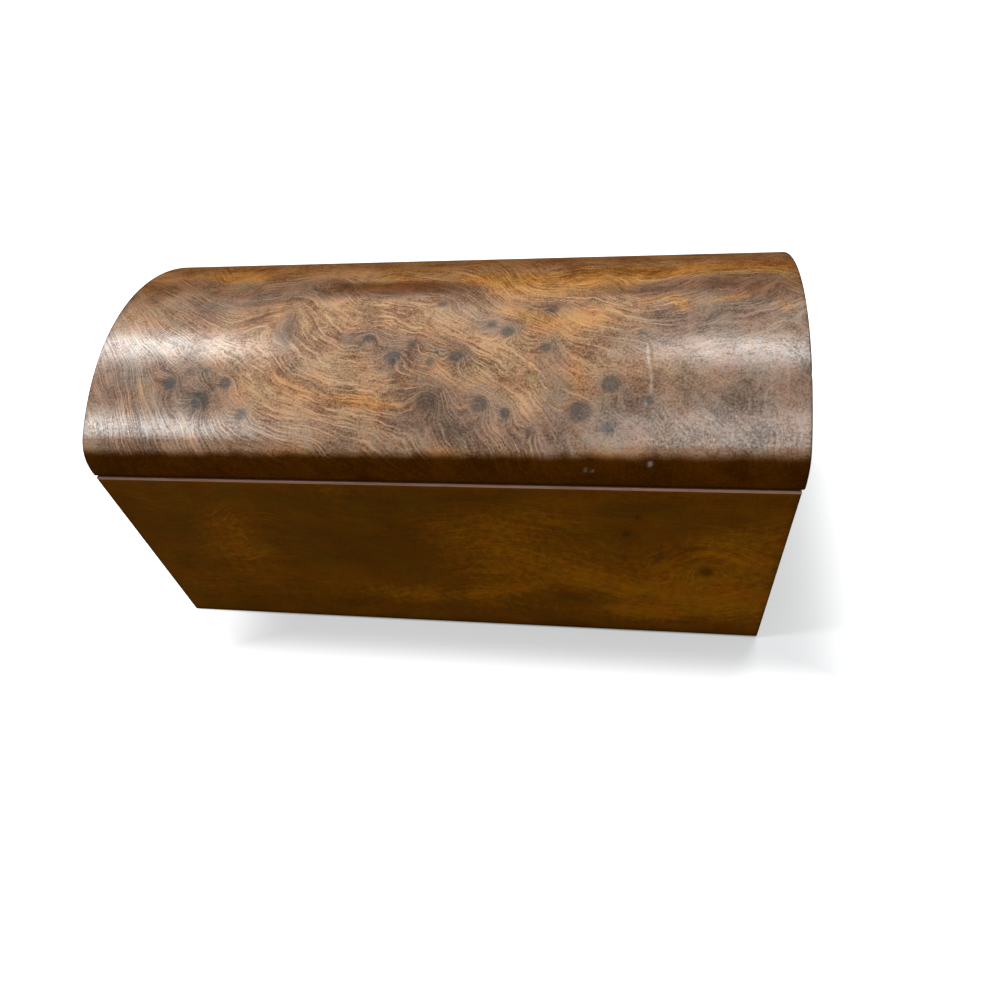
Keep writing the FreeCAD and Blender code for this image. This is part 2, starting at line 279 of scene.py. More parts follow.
class BurlFigure:
    """The figure of burl veneer, drawn along the grain lines that the mesh carries.

    Its group turns the mesh's figure and tones into colour, streak, grit and height.
    """

    shades = ("Dark tone", "Light tone", "Gold dark", "Gold light", "Smoke dark", "Smoke light",
              "Eye tone")

    def __init__(self) -> None:
        """Starts the group and draws the noises that its colours share."""
        kinds = {"Figure": VECTOR, "Tones": RGBA, "Crisp": FLOAT, "Contrast": FLOAT,
                 "Fineness": FLOAT}
        kinds.update({label: RGBA for label in self.shades})
        nodes, take, self.out = new_group("burl_figure", kinds, {
            "Colour": RGBA, "Streak": FLOAT, "Grit": FLOAT, "Height": FLOAT})
        self.nodes, self.take = nodes, take
        line, self.across, self.along = nodes.split("XYZ", take["Figure"])
        self.spot = nodes.join(self.across, self.along)
        # The grain lines waver a little on their way
        for scale, reach in ((0.10, 2.4), (0.45, 0.35)):
            line = nodes.total(line, nodes.swing(nodes.noise(self.spot, scale), reach))
        self.line = line
        self.hairs = self.streaks(3.3, 0.085, 3.0)
        self.bands = self.streaks(0.85, 0.045, 2.0)
        self.broad = self.streaks(0.20, 0.030, 2.0)
        self.grit = nodes.noise(self.spot, 1.5, 3.0, 0.8)
        self.mottle = nodes.noise(self.spot, 0.42, 5.0, 0.66)
        self.cloud = nodes.noise(self.spot, 0.075, 4.0, 0.6)
        self.smoke, self.gold, self.eye = nodes.split("Color", take["Tones"])

    def streaks(self, pitch: float, reach: float, detail: float) -> bpy.types.NodeSocket:
        """Noise drawn out along the grain.

        Args:
            pitch: how many streaks there are to a millimetre across the grain.
            reach: how many to a millimetre along it.
            detail: how many finer noises are added.

        Returns:
            The noise.
        """
        nodes = self.nodes
        rate = nodes.times(nodes.times(self.line, pitch), self.take["Fineness"])
        place = nodes.join(rate, nodes.times(self.across, reach), nodes.times(self.along, reach))
        return nodes.noise(place, 1.0, detail, 0.55)

    def streak(self) -> bpy.types.NodeSocket:
        """How light the wood is between its dark and its light tone, from 0 to 1."""
        nodes, crisp = self.nodes, self.take["Crisp"]
        drawn = nodes.times(nodes.swing(self.hairs, 1.0), crisp)
        total = nodes.total(nodes.times(drawn, 0.60), nodes.swing(self.hairs, 0.35))
        light_hairs = nodes.times(nodes.step(self.hairs, 0.54, 0.74), crisp)
        total = nodes.blend(light_hairs, 0.38, total)
        weights = ((self.bands, 0.24), (self.broad, 0.45), (self.mottle, 0.85),
                   (self.grit, 1.35), (self.cloud, 1.0))
        for part, weight in weights:
            total = nodes.total(total, nodes.swing(part, weight))
        return nodes.step(nodes.blend(total, self.take["Contrast"], 0.5), 0.0, 1.0)

    def wood(self, streak: bpy.types.NodeSocket) -> bpy.types.NodeSocket:
        """The wood's colour, with its smoky and gold patches and its clouds of hue."""
        nodes, take = self.nodes, self.take
        colour = nodes.mix(streak, take["Dark tone"], take["Light tone"])
        ragged = nodes.total(nodes.swing(self.bands, 0.8), nodes.swing(self.mottle, 1.5))
        gold = nodes.blend(self.smoke, -0.40, self.gold)
        for mask, name, weight in ((self.smoke, "Smoke", 1.0), (gold, "Gold", 0.6)):
            patch = nodes.step(nodes.blend(ragged, weight, mask), 0.1, 0.95)
            inside = nodes.mix(streak, take[f"{name} dark"], take[f"{name} light"])
            colour = nodes.mix(patch, colour, inside)
        # Clouds of redder and greener wood
        hue = nodes.step(nodes.noise(self.spot, 0.11, 4.0, 0.55), 0.34, 0.66)
        blush = nodes.mix(hue, (1.06, 0.95, 0.89), (0.96, 1.035, 1.05))
        return nodes.mix(1.0, colour, blush, "MULTIPLY")

    def build(self) -> bpy.types.NodeTree:
        """Adds the flecks and the eyes, and finishes the group."""
        nodes, take = self.nodes, self.take
        streak = self.streak()
        colour = self.wood(streak)
        flecks = nodes.step(self.streaks(1.1, 0.22, 2.0), 0.62, 0.80)
        colour = nodes.mix(nodes.times(flecks, 0.22), colour, take["Smoke dark"])
        # The eyes have a ragged edge and a paler middle
        core = nodes.step(nodes.total(self.eye, nodes.swing(self.mottle, 0.9)), 0.15, 0.95)
        ring = nodes.step(nodes.math("ABSOLUTE", nodes.math("SUBTRACT", self.eye, 0.55)), 0.0, 0.5)
        cover = nodes.times(core, nodes.blend(ring, -0.30, 0.95))
        colour = nodes.mix(cover, colour, take["Eye tone"])
        height = nodes.math("SUBTRACT", nodes.total(self.hairs, nodes.swing(self.grit, 0.6)),
                            nodes.times(core, 0.4))
        nodes.put(self.out, Colour=colour, Streak=streak, Grit=self.grit, Height=height)
        return nodes.tree


def plain_grain_group() -> bpy.types.NodeTree:
    """Straight-grained wood, its grain along the X of the coordinates it is given.

    Returns:
        A group that gives colour, and the height of its pores.
    """
    inputs = {"Vector": VECTOR, "Dark": RGBA, "Light": RGBA, "Pore": RGBA}
    nodes, take, out = new_group("plain_grain", inputs, {"Colour": RGBA, "Height": FLOAT})
    bend = nodes.noise(nodes.stretch(take["Vector"], (6.0, 40.0, 40.0)), 1.0, 2.0)
    moved = nodes.vector_math("ADD", take["Vector"], nodes.join(y=nodes.times(bend, 0.012)))
    rings = nodes.noise(nodes.stretch(moved, (4.0, 420.0, 300.0)), 1.0, 3.0, 0.6)
    fibres = nodes.noise(nodes.stretch(moved, (60.0, 2600.0, 2600.0)), 1.0, 2.0, 0.6)
    tone = nodes.total(nodes.times(rings, 0.7), nodes.times(fibres, 0.3))
    colour = nodes.mix(nodes.step(tone, 0.3, 0.7), take["Dark"], take["Light"])
    pores = nodes.noise(nodes.stretch(moved, (130.0, 3800.0, 3800.0)), 1.0, 1.0)
    pore = nodes.step(pores, 0.62, 0.72)
    colour = nodes.mix(nodes.times(pore, 0.7), colour, take["Pore"])
    nodes.put(out, Colour=colour, Height=nodes.math("SUBTRACT", tone, pore))
    return nodes.tree


def dust_group() -> bpy.types.NodeTree:
    """Fine dust and rubbed places, which dull a finish here and there.

    Returns:
        A group that gives a mask.
    """
    nodes, take, out = new_group("dust", {"Vector": VECTOR, "Size": FLOAT}, {"Mask": FLOAT})
    scaled = nodes.add("ShaderNodeVectorMath", operation="SCALE")
    nodes.put(scaled, Vector=take["Vector"], Scale=take["Size"])
    clouds = nodes.noise(scaled.outputs[0], 1.0, 5.0, 0.7)
    nodes.put(out, Mask=nodes.step(clouds, 0.45, 0.75))
    return nodes.tree


class Groups:
    """The node groups that the finishes share, each built once."""

    made: dict[str, bpy.types.NodeTree] = {}
    makers: dict[str, Callable[[], bpy.types.NodeTree]] = {
        "burl": lambda: BurlFigure().build(), "plain_grain": plain_grain_group, "dust": dust_group}

    @classmethod
    def place(cls, nodes: Nodes, name: str, **values: object) -> bpy.types.Node:
        """Puts a group into a material.

        Args:
            nodes: the material's nodes.
            name: which group.
            values: what its inputs get, with _ for a space in a name.

        Returns:
            The group node.
        """
        if name not in cls.made:
            cls.made[name] = cls.makers[name]()
        return nodes.put(nodes.add("ShaderNodeGroup", node_tree=cls.made[name]), **values)


def new_material(name: str) -> tuple[bpy.types.Material, Nodes, bpy.types.Node]:
    """Starts a material with one Principled shader.

    Returns:
        The material, its nodes and the shader node.
    """
    material = bpy.data.materials.new(name)
    material.use_nodes = True
    nodes = Nodes(material.node_tree)
    shader = nodes.add("ShaderNodeBsdfPrincipled")
    nodes.put(nodes.add("ShaderNodeOutputMaterial"), Surface=shader.outputs[0])
    return material, nodes, shader


def object_coordinates(nodes: Nodes) -> bpy.types.NodeSocket:
    """The coordinates of the piece's own mesh, in metres."""
    return nodes.add("ShaderNodeTexCoord").outputs["Object"]


def bump(nodes: Nodes, height: bpy.types.NodeSocket, distance: float) -> bpy.types.NodeSocket:
    """A normal from a height, where a height of 1 stands distance metres proud."""
    return nodes.put(nodes.add("ShaderNodeBump"), Height=height, Distance=distance).outputs[0]


# Finishes


@dataclass(frozen=True)
class BurlFinish:
    """Burl veneer under varnish."""

    name: str
    dark: Colour
    light: Colour
    gold_dark: Colour
    gold_light: Colour
    smoke_dark: Colour
    smoke_light: Colour
    eye: Colour
    # The colour of painted shade: the dark band along the lid's foot, the darker arrises and the
    # darker foot of the base
    painted_shade: Colour
    chip: Colour = (0.62, 0.52, 0.42)
    contrast: float = 1.12
    fineness: float = 1.0
    roughness: float = 0.5
    sheen_break: float = 0.12
    specular: float = 0.03
    varnish: float = 1.0
    varnish_roughness: float = 0.22
    relief: float = 0.00002

    def material(self) -> bpy.types.Material:
        """Builds the finish, which reads the attributes figure, tones and shade_and_wear, the last
        holding painted shade and wear.
        """
        material, nodes, shader = new_material(self.name)
        figure, tones, shade_and_wear = (nodes.add("ShaderNodeAttribute", attribute_name=name).outputs
                               for name in ("figure", "tones", "shade_and_wear"))
        burl = Groups.place(
            nodes, "burl", Figure=figure["Vector"], Tones=tones["Color"], Crisp=shade_and_wear["Alpha"],
            Dark_tone=self.dark, Light_tone=self.light, Gold_dark=self.gold_dark,
            Gold_light=self.gold_light, Smoke_dark=self.smoke_dark, Smoke_light=self.smoke_light,
            Eye_tone=self.eye, Contrast=self.contrast, Fineness=self.fineness)
        colour, streak, grit, height = burl.outputs
        # The dark tone: darker wood, and on the lid also the painted shade towards its back
        deep_and_shade = nodes.mix(streak, shade(self.gold_dark, 0.4), self.gold_dark)
        colour = nodes.mix(tones["Alpha"], colour, deep_and_shade)
        colour = self.worn(nodes, colour, streak, shade_and_wear["Color"])
        shade_band, chip, _ = nodes.split("Color", shade_and_wear["Color"])
        dust = Groups.place(nodes, "dust", Vector=object_coordinates(nodes), Size=90.0)
        rough = nodes.blend(streak, self.sheen_break, self.roughness - self.sheen_break / 2)
        rough = nodes.blend(dust.outputs[0], 0.08, rough)
        bare = self.bare(nodes, shade_band, chip)
        nodes.put(shader, Base_Color=colour, Roughness=nodes.blend(chip, 0.4, rough),
                  Specular_IOR_Level=nodes.blend(bare, -self.specular, self.specular),
                  Normal=bump(nodes, height, self.relief))
        if self.varnish:
            broken = nodes.blend(nodes.swing(grit, 1.6), 1.0, nodes.blend(streak, 0.7, 0.4))
            cover = nodes.times(nodes.math("SUBTRACT", 1.0, bare), self.varnish)
            cover = nodes.times(cover, nodes.math("MAXIMUM", broken, 0.1))
            nodes.put(shader, Coat_Weight=cover, Coat_Roughness=self.varnish_roughness)
        return material

    def worn(self, nodes: Nodes, colour: bpy.types.NodeSocket, streak: bpy.types.NodeSocket,
             shade_and_wear: bpy.types.NodeSocket) -> bpy.types.NodeSocket:
        """Adds painted shade, a dark band along the foot and darker arrises, and the chips to the
        wood's colour.
        """
        shade_band, chip, edge_shade = nodes.split("Color", shade_and_wear)
        # Painted shade: the dark band along the foot
        shade_band_colour = nodes.mix(streak, shade(self.painted_shade, 0.55), shade(self.painted_shade, 1.25))
        colour = nodes.mix(shade_band, colour, shade_band_colour)
        # Painted shade along the arrises
        colour = nodes.mix(nodes.times(edge_shade, 0.85), colour, shade(self.painted_shade, 0.25))
        return nodes.mix(chip, colour, self.chip)

    def bare(self, nodes: Nodes, shade_band: bpy.types.NodeSocket,
             chip: bpy.types.NodeSocket) -> bpy.types.NodeSocket:
        """Where the varnish doesn't shine: on the painted shade band, in chips and seen aslant."""
        facing = nodes.add("ShaderNodeLayerWeight").outputs["Facing"]
        dull = nodes.math("MAXIMUM", nodes.times(shade_band, 2.5), chip)
        dull = nodes.math("MAXIMUM", dull, nodes.step(facing, 0.40, 0.64))
        return nodes.math("MINIMUM", dull, 1.0)


@dataclass(frozen=True)
class PlainWoodFinish:
    """Straight-grained boards, planed and oiled."""

    name: str
    dark: Colour
    light: Colour
    pore: Colour
    grain: Grain = Grain.ALONG_X
    tone: float = 1.0
    part_of_log: float = 0.0
    roughness: float = 0.55
    specular: float = 0.3
    relief: float = 0.00003

    def material(self) -> bpy.types.Material:
        """Builds the finish in the piece's own coordinates."""
        material, nodes, shader = new_material(self.name)
        turn = 90.0 if self.grain is Grain.ALONG_Y else 0.0
        place = nodes.stretch(object_coordinates(nodes), (1.0, 1.0, 1.0), turn, self.part_of_log)
        wood = Groups.place(nodes, "plain_grain", Vector=place, Pore=self.pore,
                            Dark=shade(self.dark, self.tone), Light=shade(self.light, self.tone))
        dust = Groups.place(nodes, "dust", Vector=place, Size=60.0).outputs[0]
        colour = nodes.mix(nodes.times(dust, 0.25), wood.outputs["Colour"], self.pore)
        nodes.put(shader, Base_Color=colour, Roughness=nodes.blend(dust, 0.15, self.roughness),
                  Specular_IOR_Level=self.specular,
                  Normal=bump(nodes, wood.outputs["Height"], self.relief))
        return material


@dataclass(frozen=True)
class MetalFinish:
    """Brass or steel, brushed and a little tarnished."""

    name: str
    colour: Colour
    tarnish: Colour
    brushed: Point = (200.0, 3000.0, 3000.0)
    roughness: float = 0.32
    relief: float = 0.000006

    def material(self) -> bpy.types.Material:
        """Builds the finish in the piece's own coordinates."""
        material, nodes, shader = new_material(self.name)
        place = object_coordinates(nodes)
        scratches = nodes.noise(nodes.stretch(place, self.brushed), 1.0, 2.0)
        dull = nodes.step(nodes.noise(place, 420.0, 5.0, 0.7), 0.45, 0.7)
        rough = nodes.total(nodes.times(scratches, 0.2), nodes.times(dull, 0.18),
                            self.roughness - 0.1)
        nodes.put(shader, Base_Color=nodes.mix(nodes.times(dull, 0.6), self.colour, self.tarnish),
                  Metallic=1.0, Roughness=rough, Normal=bump(nodes, scratches, self.relief))
        return material


@dataclass(frozen=True)
class FeltFinish:
    """Felt or baize."""

    name: str
    dark: Colour
    light: Colour
    fuzz: float = 0.4
    relief: float = 0.0002

    def material(self) -> bpy.types.Material:
        """Builds the finish in the piece's own coordinates."""
        material, nodes, shader = new_material(self.name)
        place = object_coordinates(nodes)
        matted = nodes.noise(place, 900.0, 5.0, 0.7, 1.5)
        threads = nodes.noise(place, 3200.0, 2.0, 0.6, 3.0)
        worn = nodes.noise(place, 45.0, 3.0, 0.6)
        tone = nodes.total(nodes.times(matted, 0.5), nodes.times(threads, 0.3),
                           nodes.times(worn, 0.2))
        nodes.put(shader, Base_Color=nodes.mix(nodes.step(tone, 0.32, 0.68), self.dark, self.light),
                  Roughness=nodes.step(threads, 0.2, 0.8, 0.85, 1.0), Specular_IOR_Level=0.1,
                  Sheen_Weight=self.fuzz, Sheen_Roughness=0.5,
                  Normal=bump(nodes, tone, self.relief))
        return material


LID_BURL = BurlFinish(
    name="lid_burl", dark=(0.140, 0.052, 0.020), light=(0.64, 0.362, 0.175),
    gold_dark=(0.19, 0.058, 0.007), gold_light=(0.68, 0.325, 0.090),
    smoke_dark=(0.080, 0.044, 0.027), smoke_light=(0.370, 0.225, 0.145),
    eye=(0.050, 0.041, 0.035), painted_shade=(0.070, 0.0195, 0.0006))
# The base's burl: a darker veneer, with painted shade laid into its colours as well, for its upright
# sides in shade
SHADED_BASE_BURL = BurlFinish(
    name="shaded_base_burl", dark=(0.075, 0.0228, 0.0003), light=(0.168, 0.0570, 0.0008),
    gold_dark=(0.140, 0.0420, 0.0004), gold_light=(0.315, 0.1080, 0.0014),
    smoke_dark=(0.055, 0.0190, 0.0003), smoke_light=(0.120, 0.0430, 0.0006),
    eye=(0.050, 0.0180, 0.0008), painted_shade=(0.022, 0.0085, 0.0004), chip=(0.45, 0.35, 0.24),
    contrast=0.72, fineness=0.8, roughness=0.7, sheen_break=0.1, specular=0.012,
    varnish=0.0, relief=0.00001)
OAK = PlainWoodFinish("board_wood", dark=(0.30, 0.155, 0.070), light=(0.50, 0.300, 0.150),
                      pore=(0.16, 0.075, 0.032))
OAK_ENDS = replace(OAK, name="end_board_wood", grain=Grain.ALONG_Y)
LID_WOOD = PlainWoodFinish("lid_board_wood", dark=(0.36, 0.20, 0.095), light=(0.56, 0.355, 0.19),
                           pore=(0.20, 0.10, 0.045))
LID_ENDS = replace(LID_WOOD, name="lid_end_wood", grain=Grain.ALONG_Y)
EDGING = PlainWoodFinish("edging_wood", dark=(0.220, 0.105, 0.068), light=(0.380, 0.205, 0.145),
                         pore=(0.160, 0.080, 0.055), roughness=0.4, specular=0.2)
EDGING_ENDS = replace(EDGING, name="edging_end_wood", grain=Grain.ALONG_Y)
BRASS = MetalFinish("hinge_brass", colour=(0.78, 0.57, 0.26), tarnish=(0.36, 0.22, 0.08))
SCREW_BRASS = MetalFinish("screw_brass", colour=(0.72, 0.50, 0.22), tarnish=(0.30, 0.18, 0.07),
                          brushed=(2500.0, 2500.0, 2500.0))
STEEL = MetalFinish("pin_steel", colour=(0.56, 0.55, 0.53), tarnish=(0.25, 0.21, 0.17))
FELT = FeltFinish("lining_felt", dark=(0.022, 0.075, 0.040), light=(0.060, 0.165, 0.090))
BAIZE = FeltFinish("foot_baize", dark=(0.018, 0.055, 0.030), light=(0.050, 0.120, 0.065))


# The view


@dataclass(frozen=True)
class Lamp:
    """A soft box that faces the lid and is long along X: its sizes are in metres."""

    name: str
    way: Point
    size: Pair
    power: float
    far: float = 1.2

    def hang(self, target: Vector, colour: Colour) -> None:
        """Hangs the lamp so that it faces the target."""
        data = bpy.data.lights.new(self.name, "AREA")
        data.shape = "RECTANGLE"
        data.size, data.size_y = self.size
        data.energy = self.power
        data.color = colour
        lamp = bpy.data.objects.new(self.name, data)
        away = Vector(self.way).normalized()
        length = (Vector((1.0, 0.0, 0.0)) - away * away.x).normalized()
        turn = Matrix((length, away.cross(length), away)).transposed()
        lamp.matrix_world = Matrix.Translation(target + away * self.far) @ turn.to_4x4()
        bpy.context.scene.collection.objects.link(lamp)


@dataclass
class Studio:
    """The camera, the lamps, the floor and the surroundings, in metres and degrees."""

    camera_place: Point = (0.05561, -0.18784, 0.21829)
    heading: float = 15.41
    look_down: float = 54.34
    roll: float = -10.10
    lens: float = 27.266
    sensor: float = 36.0
    shift_x: float = -0.0042
    shift_y: float = 0.0980
    frame_width: float = 1000.0
    lamp_target: Point = (0.0, 0.0, 0.08)
    lamp_colour: Colour = (0.93, 0.98, 1.0)
    lamps: tuple[Lamp, ...] = (
        Lamp("left_back", (-0.63, 0.395, 0.67), (0.42, 0.21), 4.1),
        Lamp("left_front", (-0.66, -0.18, 0.78), (0.40, 0.11), 3.2),
        Lamp("right_back", (0.23, 0.435, 0.875), (0.36, 0.24), 3.4),
        Lamp("right_front", (0.20, -0.24, 0.935), (0.40, 0.44), 3.3),
    )
    surround: float = 0.27
    floor_reach: float = 6.0
    floor_colour: Colour = (0.80, 0.80, 0.80)
    # The floor's glow is painted: lower near the box behind and to its right, which deepens its
    # shadow there, and higher elsewhere, which paints the shadow out
    shaded_glow: float = 0.21
    open_glow: float = 0.75
    shade_corner: Point = (0.0995, 0.0483, 0.0)
    shade_reach: float = 0.055
    shade_left: Pair = (-0.05, -0.11)
    shade_front: Pair = (-0.05, -0.075)

    def turn(self) -> Matrix:
        """The camera's rotation."""
        return (Matrix.Rotation(math.radians(self.heading), 3, "Z")
                @ Matrix.Rotation(math.radians(90 - self.look_down), 3, "X")
                @ Matrix.Rotation(math.radians(self.roll), 3, "Z"))

    def ray(self, x: float, y: float) -> tuple[np.ndarray, np.ndarray]:
        """The line of sight through a place in the photo.

        Args:
            x: pixels from the left.
            y: pixels from the top.

        Returns:
            Its start and its direction, in millimetres.
        """
        focal = self.lens / self.sensor * self.frame_width
        centre = self.frame_width / 2
        right = (x - centre + self.shift_x * self.frame_width) / focal
        down = (y - centre - self.shift_y * self.frame_width) / focal
        way = self.turn() @ Vector((right, -down, -1.0))
        return np.array(self.camera_place) / MM, np.array(way)

    def build(self) -> None:
        """Makes the camera, the lamps, the floor and the world."""
        scene = bpy.context.scene
        scene.view_settings.view_transform = "Standard"
        data = bpy.data.cameras.new("camera")
        data.sensor_width, data.lens = self.sensor, self.lens
        data.shift_x, data.shift_y = self.shift_x, self.shift_y
        data.clip_start = 0.01
        camera = bpy.data.objects.new("camera", data)
        camera.matrix_world = (Matrix.Translation(self.camera_place) @ self.turn().to_4x4())
        scene.collection.objects.link(camera)
        scene.camera = camera
        for lamp in self.lamps:
            lamp.hang(Vector(self.lamp_target), self.lamp_colour)
        self.floor()
        self.world()

    def seen(self, nodes: Nodes) -> bpy.types.NodeSocket:
        """1 where the camera looks, straight or by way of metal, gloss or glass."""
        path = nodes.add("ShaderNodeLightPath").outputs
        total = nodes.total(path["Is Camera Ray"], path["Is Glossy Ray"],
                            path["Is Transmission Ray"])
        return nodes.math("MINIMUM", total, 1.0)

    def floor_glow(self, nodes: Nodes) -> bpy.types.NodeSocket:
        """How bright the floor's glow is: painted low near the box, behind it and to its right, which
        deepens its shadow there, and full in front, to the left and further off, which paints the
        shadow out there.
        """
        place = object_coordinates(nodes)
        past = nodes.vector_math("SUBTRACT", place, self.shade_corner)
        past = nodes.vector_math("MAXIMUM", past, (0.0, 0.0, 0.0))
        far = nodes.add("ShaderNodeVectorMath", operation="LENGTH")
        nodes.feed(far.inputs[0], past)
        x, y, _ = nodes.split("XYZ", place)
        sides = nodes.math("MAXIMUM", nodes.step(x, *self.shade_left),
                           nodes.step(y, *self.shade_front))
        clear = nodes.step(far.outputs["Value"], 0.0, self.shade_reach)
        clear = nodes.math("MAXIMUM", clear, sides)
        return nodes.step(clear, 0.0, 1.0, self.shaded_glow, self.open_glow)

    def floor(self) -> None:
        """A pale floor that keeps the shadow, under a glow that is painted lower near the box and
        higher in front and to the left.
        """
        reach = self.floor_reach
        mesh = bpy.data.meshes.new("floor")
        corners = [(-reach, -reach, 0), (reach, -reach, 0), (reach, reach, 0), (-reach, reach, 0)]
        mesh.from_pydata(corners, [], [(0, 1, 2, 3)])
        floor = bpy.data.objects.new("floor", mesh)
        bpy.context.scene.collection.objects.link(floor)
        material, nodes, shader = new_material("pale_floor")
        glow = nodes.times(self.seen(nodes), self.floor_glow(nodes))
        nodes.put(shader, Base_Color=self.floor_colour, Roughness=1.0, Specular_IOR_Level=0.0,
                  Emission_Color=WHITE, Emission_Strength=glow)
        mesh.materials.append(material)
        floor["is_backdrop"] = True

    def world(self) -> None:
        """Even grey light from all round, white where it is seen."""
        world = bpy.data.worlds.new("surroundings")
        world.use_nodes = True
        bpy.context.scene.world = world
        nodes = Nodes(world.node_tree)
        background = nodes.add("ShaderNodeBackground")
        strength = nodes.blend(self.seen(nodes), 1.0 - self.surround, self.surround)
        nodes.put(background, Color=WHITE, Strength=strength)
        nodes.put(nodes.add("ShaderNodeOutputWorld"), Surface=background.outputs[0])


# Meshes


def new_object(name: str, vertices: Sequence, faces: Sequence, material: bpy.types.Material,
               smooth: bool = True) -> bpy.types.Object:
    """A mesh object at the origin, linked to the scene.

    Args:
        name: the piece's name.
        vertices: its points, in millimetres.
        faces: its faces, as indices.
        material: its finish.
        smooth: whether its faces are shaded smooth.

    Returns:
        The object.
    """
    mesh = bpy.data.meshes.new(name)
    points = (np.asarray(vertices, dtype=float) * MM).tolist()
    mesh.from_pydata(points, [], [tuple(int(i) for i in face) for face in faces])
    mesh.polygons.foreach_set("use_smooth", [smooth] * len(mesh.polygons))
    mesh.materials.append(material)
    mesh.validate()
    mesh.update()
    made = bpy.data.objects.new(name, mesh)
    bpy.context.scene.collection.objects.link(made)
    return made


def sheet_faces(columns: int, rows: int) -> list[list[int]]:
    """The faces of a closed sheet whose two sides are grids, the outer one first.

    Args:
        columns: how many points each grid has one way.
        rows: how many it has the other way.

    Returns:
        The faces of both sides and of the edge between them, as indices.
    """
    size = columns * rows
    index = np.arange(size).reshape(columns, rows)
    skin = np.stack([index[:-1, :-1], index[1:, :-1], index[1:, 1:], index[:-1, 1:]], -1)
    skin = skin.reshape(-1, 4)
    ring = [*index[:, 0], *index[-1, 1:], *index[-2::-1, -1], *index[0, -2:0:-1]]
    edge = [[b, a, a + size, b + size] for a, b in zip(ring, ring[1:] + ring[:1])]
    return skin.tolist() + (skin[:, ::-1] + size).tolist() + edge


def set_attribute(obj: bpy.types.Object, name: str, kind: str, values: np.ndarray) -> None:
    """Stores a row of numbers at each vertex, of the kind FLOAT_VECTOR or FLOAT_COLOR."""
    layer = obj.data.attributes.new(name, kind, "POINT")
    place = "vector" if kind == "FLOAT_VECTOR" else "color"
    layer.data.foreach_set(place, np.ascontiguousarray(values, dtype=np.float32).ravel())


def place_piece(obj: bpy.types.Object, body: str, slot: str, *nodes: str) -> None:
    """Rides a piece on its body and reports it.

    Args:
        obj: the piece.
        body: the CAD body that it moves with.
        slot: not used.
        nodes: the CAD nodes that it stands for.
    """
    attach(obj, body)
    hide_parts(*nodes)
    log.info("%s: %d faces on %s", obj.name, len(obj.data.polygons), body)


def dress(names: Iterable[str], finish: Union[PlainWoodFinish, MetalFinish]) -> None:
    """Gives CAD nodes their finish."""
    material = finish.material()
    for name in names:
        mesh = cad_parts[name].data
        mesh.materials.clear()
        mesh.materials.append(material)
        log.info("%s: %s", name, material.name)


def span(start: float, end: float, step: float, fine: Sequence[float] = ()) -> np.ndarray:
    """Stations along a length.

    Args:
        start: the first.
        end: the last.
        step: the most that two neighbours are apart.
        fine: how far from both ends the extra ones stand.

    Returns:
        The stations, in order.
    """
    inner = np.linspace(start, end, int(math.ceil((end - start) / step)) + 1)
    extra = [start + f for f in fine] + [end - f for f in fine]
    return np.unique(np.round(np.concatenate([inner, extra]), 5))


def rounding(gap: np.ndarray, radius: object) -> np.ndarray:
    """How far a rounded edge lies below its face, at a gap from the edge."""
    inside = np.clip(radius - gap, 0, None)
    return radius - np.sqrt(np.clip(radius**2 - inside**2, 0, None))


@dataclass(frozen=True)
class Sweep:
    """A grain line, as places in the photo that it passes through, left to right or down."""

    through: tuple[Pair, ...]
    crisp: float = 1.0


@dataclass(frozen=True)
class Patch:
    """A patch of one tone: its middle in the photo or on a sheet, and its size in millimetres."""

    tone: Tone
    x: float
    y: float
    wide: float
    high: float
    tilt: float = 0.0
    strength: float = 1.0


@dataclass(frozen=True)
class Spot:
    """A small round mark, its middle in the photo or on a sheet, its radius in millimetres."""

    x: float
    y: float
    radius: float
    strength: float = 1.0


@dataclass(frozen=True)
class Chip(Spot):
    """A place where the veneer is chipped, and how deep, in millimetres."""

    depth: float = 0.12


def lines(*rows: str, crisp: float = 1.0) -> tuple[Sweep, ...]:
    """Grain lines from rows of places.

    Args:
        rows: one line each, its places written as x,y.
        crisp: how clear the lines near them are.

    Returns:
        The lines.
    """
    found = []
    for row in rows:
        places = tuple(tuple(float(n) for n in place.split(",")) for place in row.split())
        found.append(Sweep(places, crisp))
    return tuple(found)


def patches(tone: Tone, *rows: tuple[float, ...]) -> tuple[Patch, ...]:
    """Patches of one tone, from rows of x, y, width, height, tilt and strength."""
    return tuple(Patch(tone, *row) for row in rows)


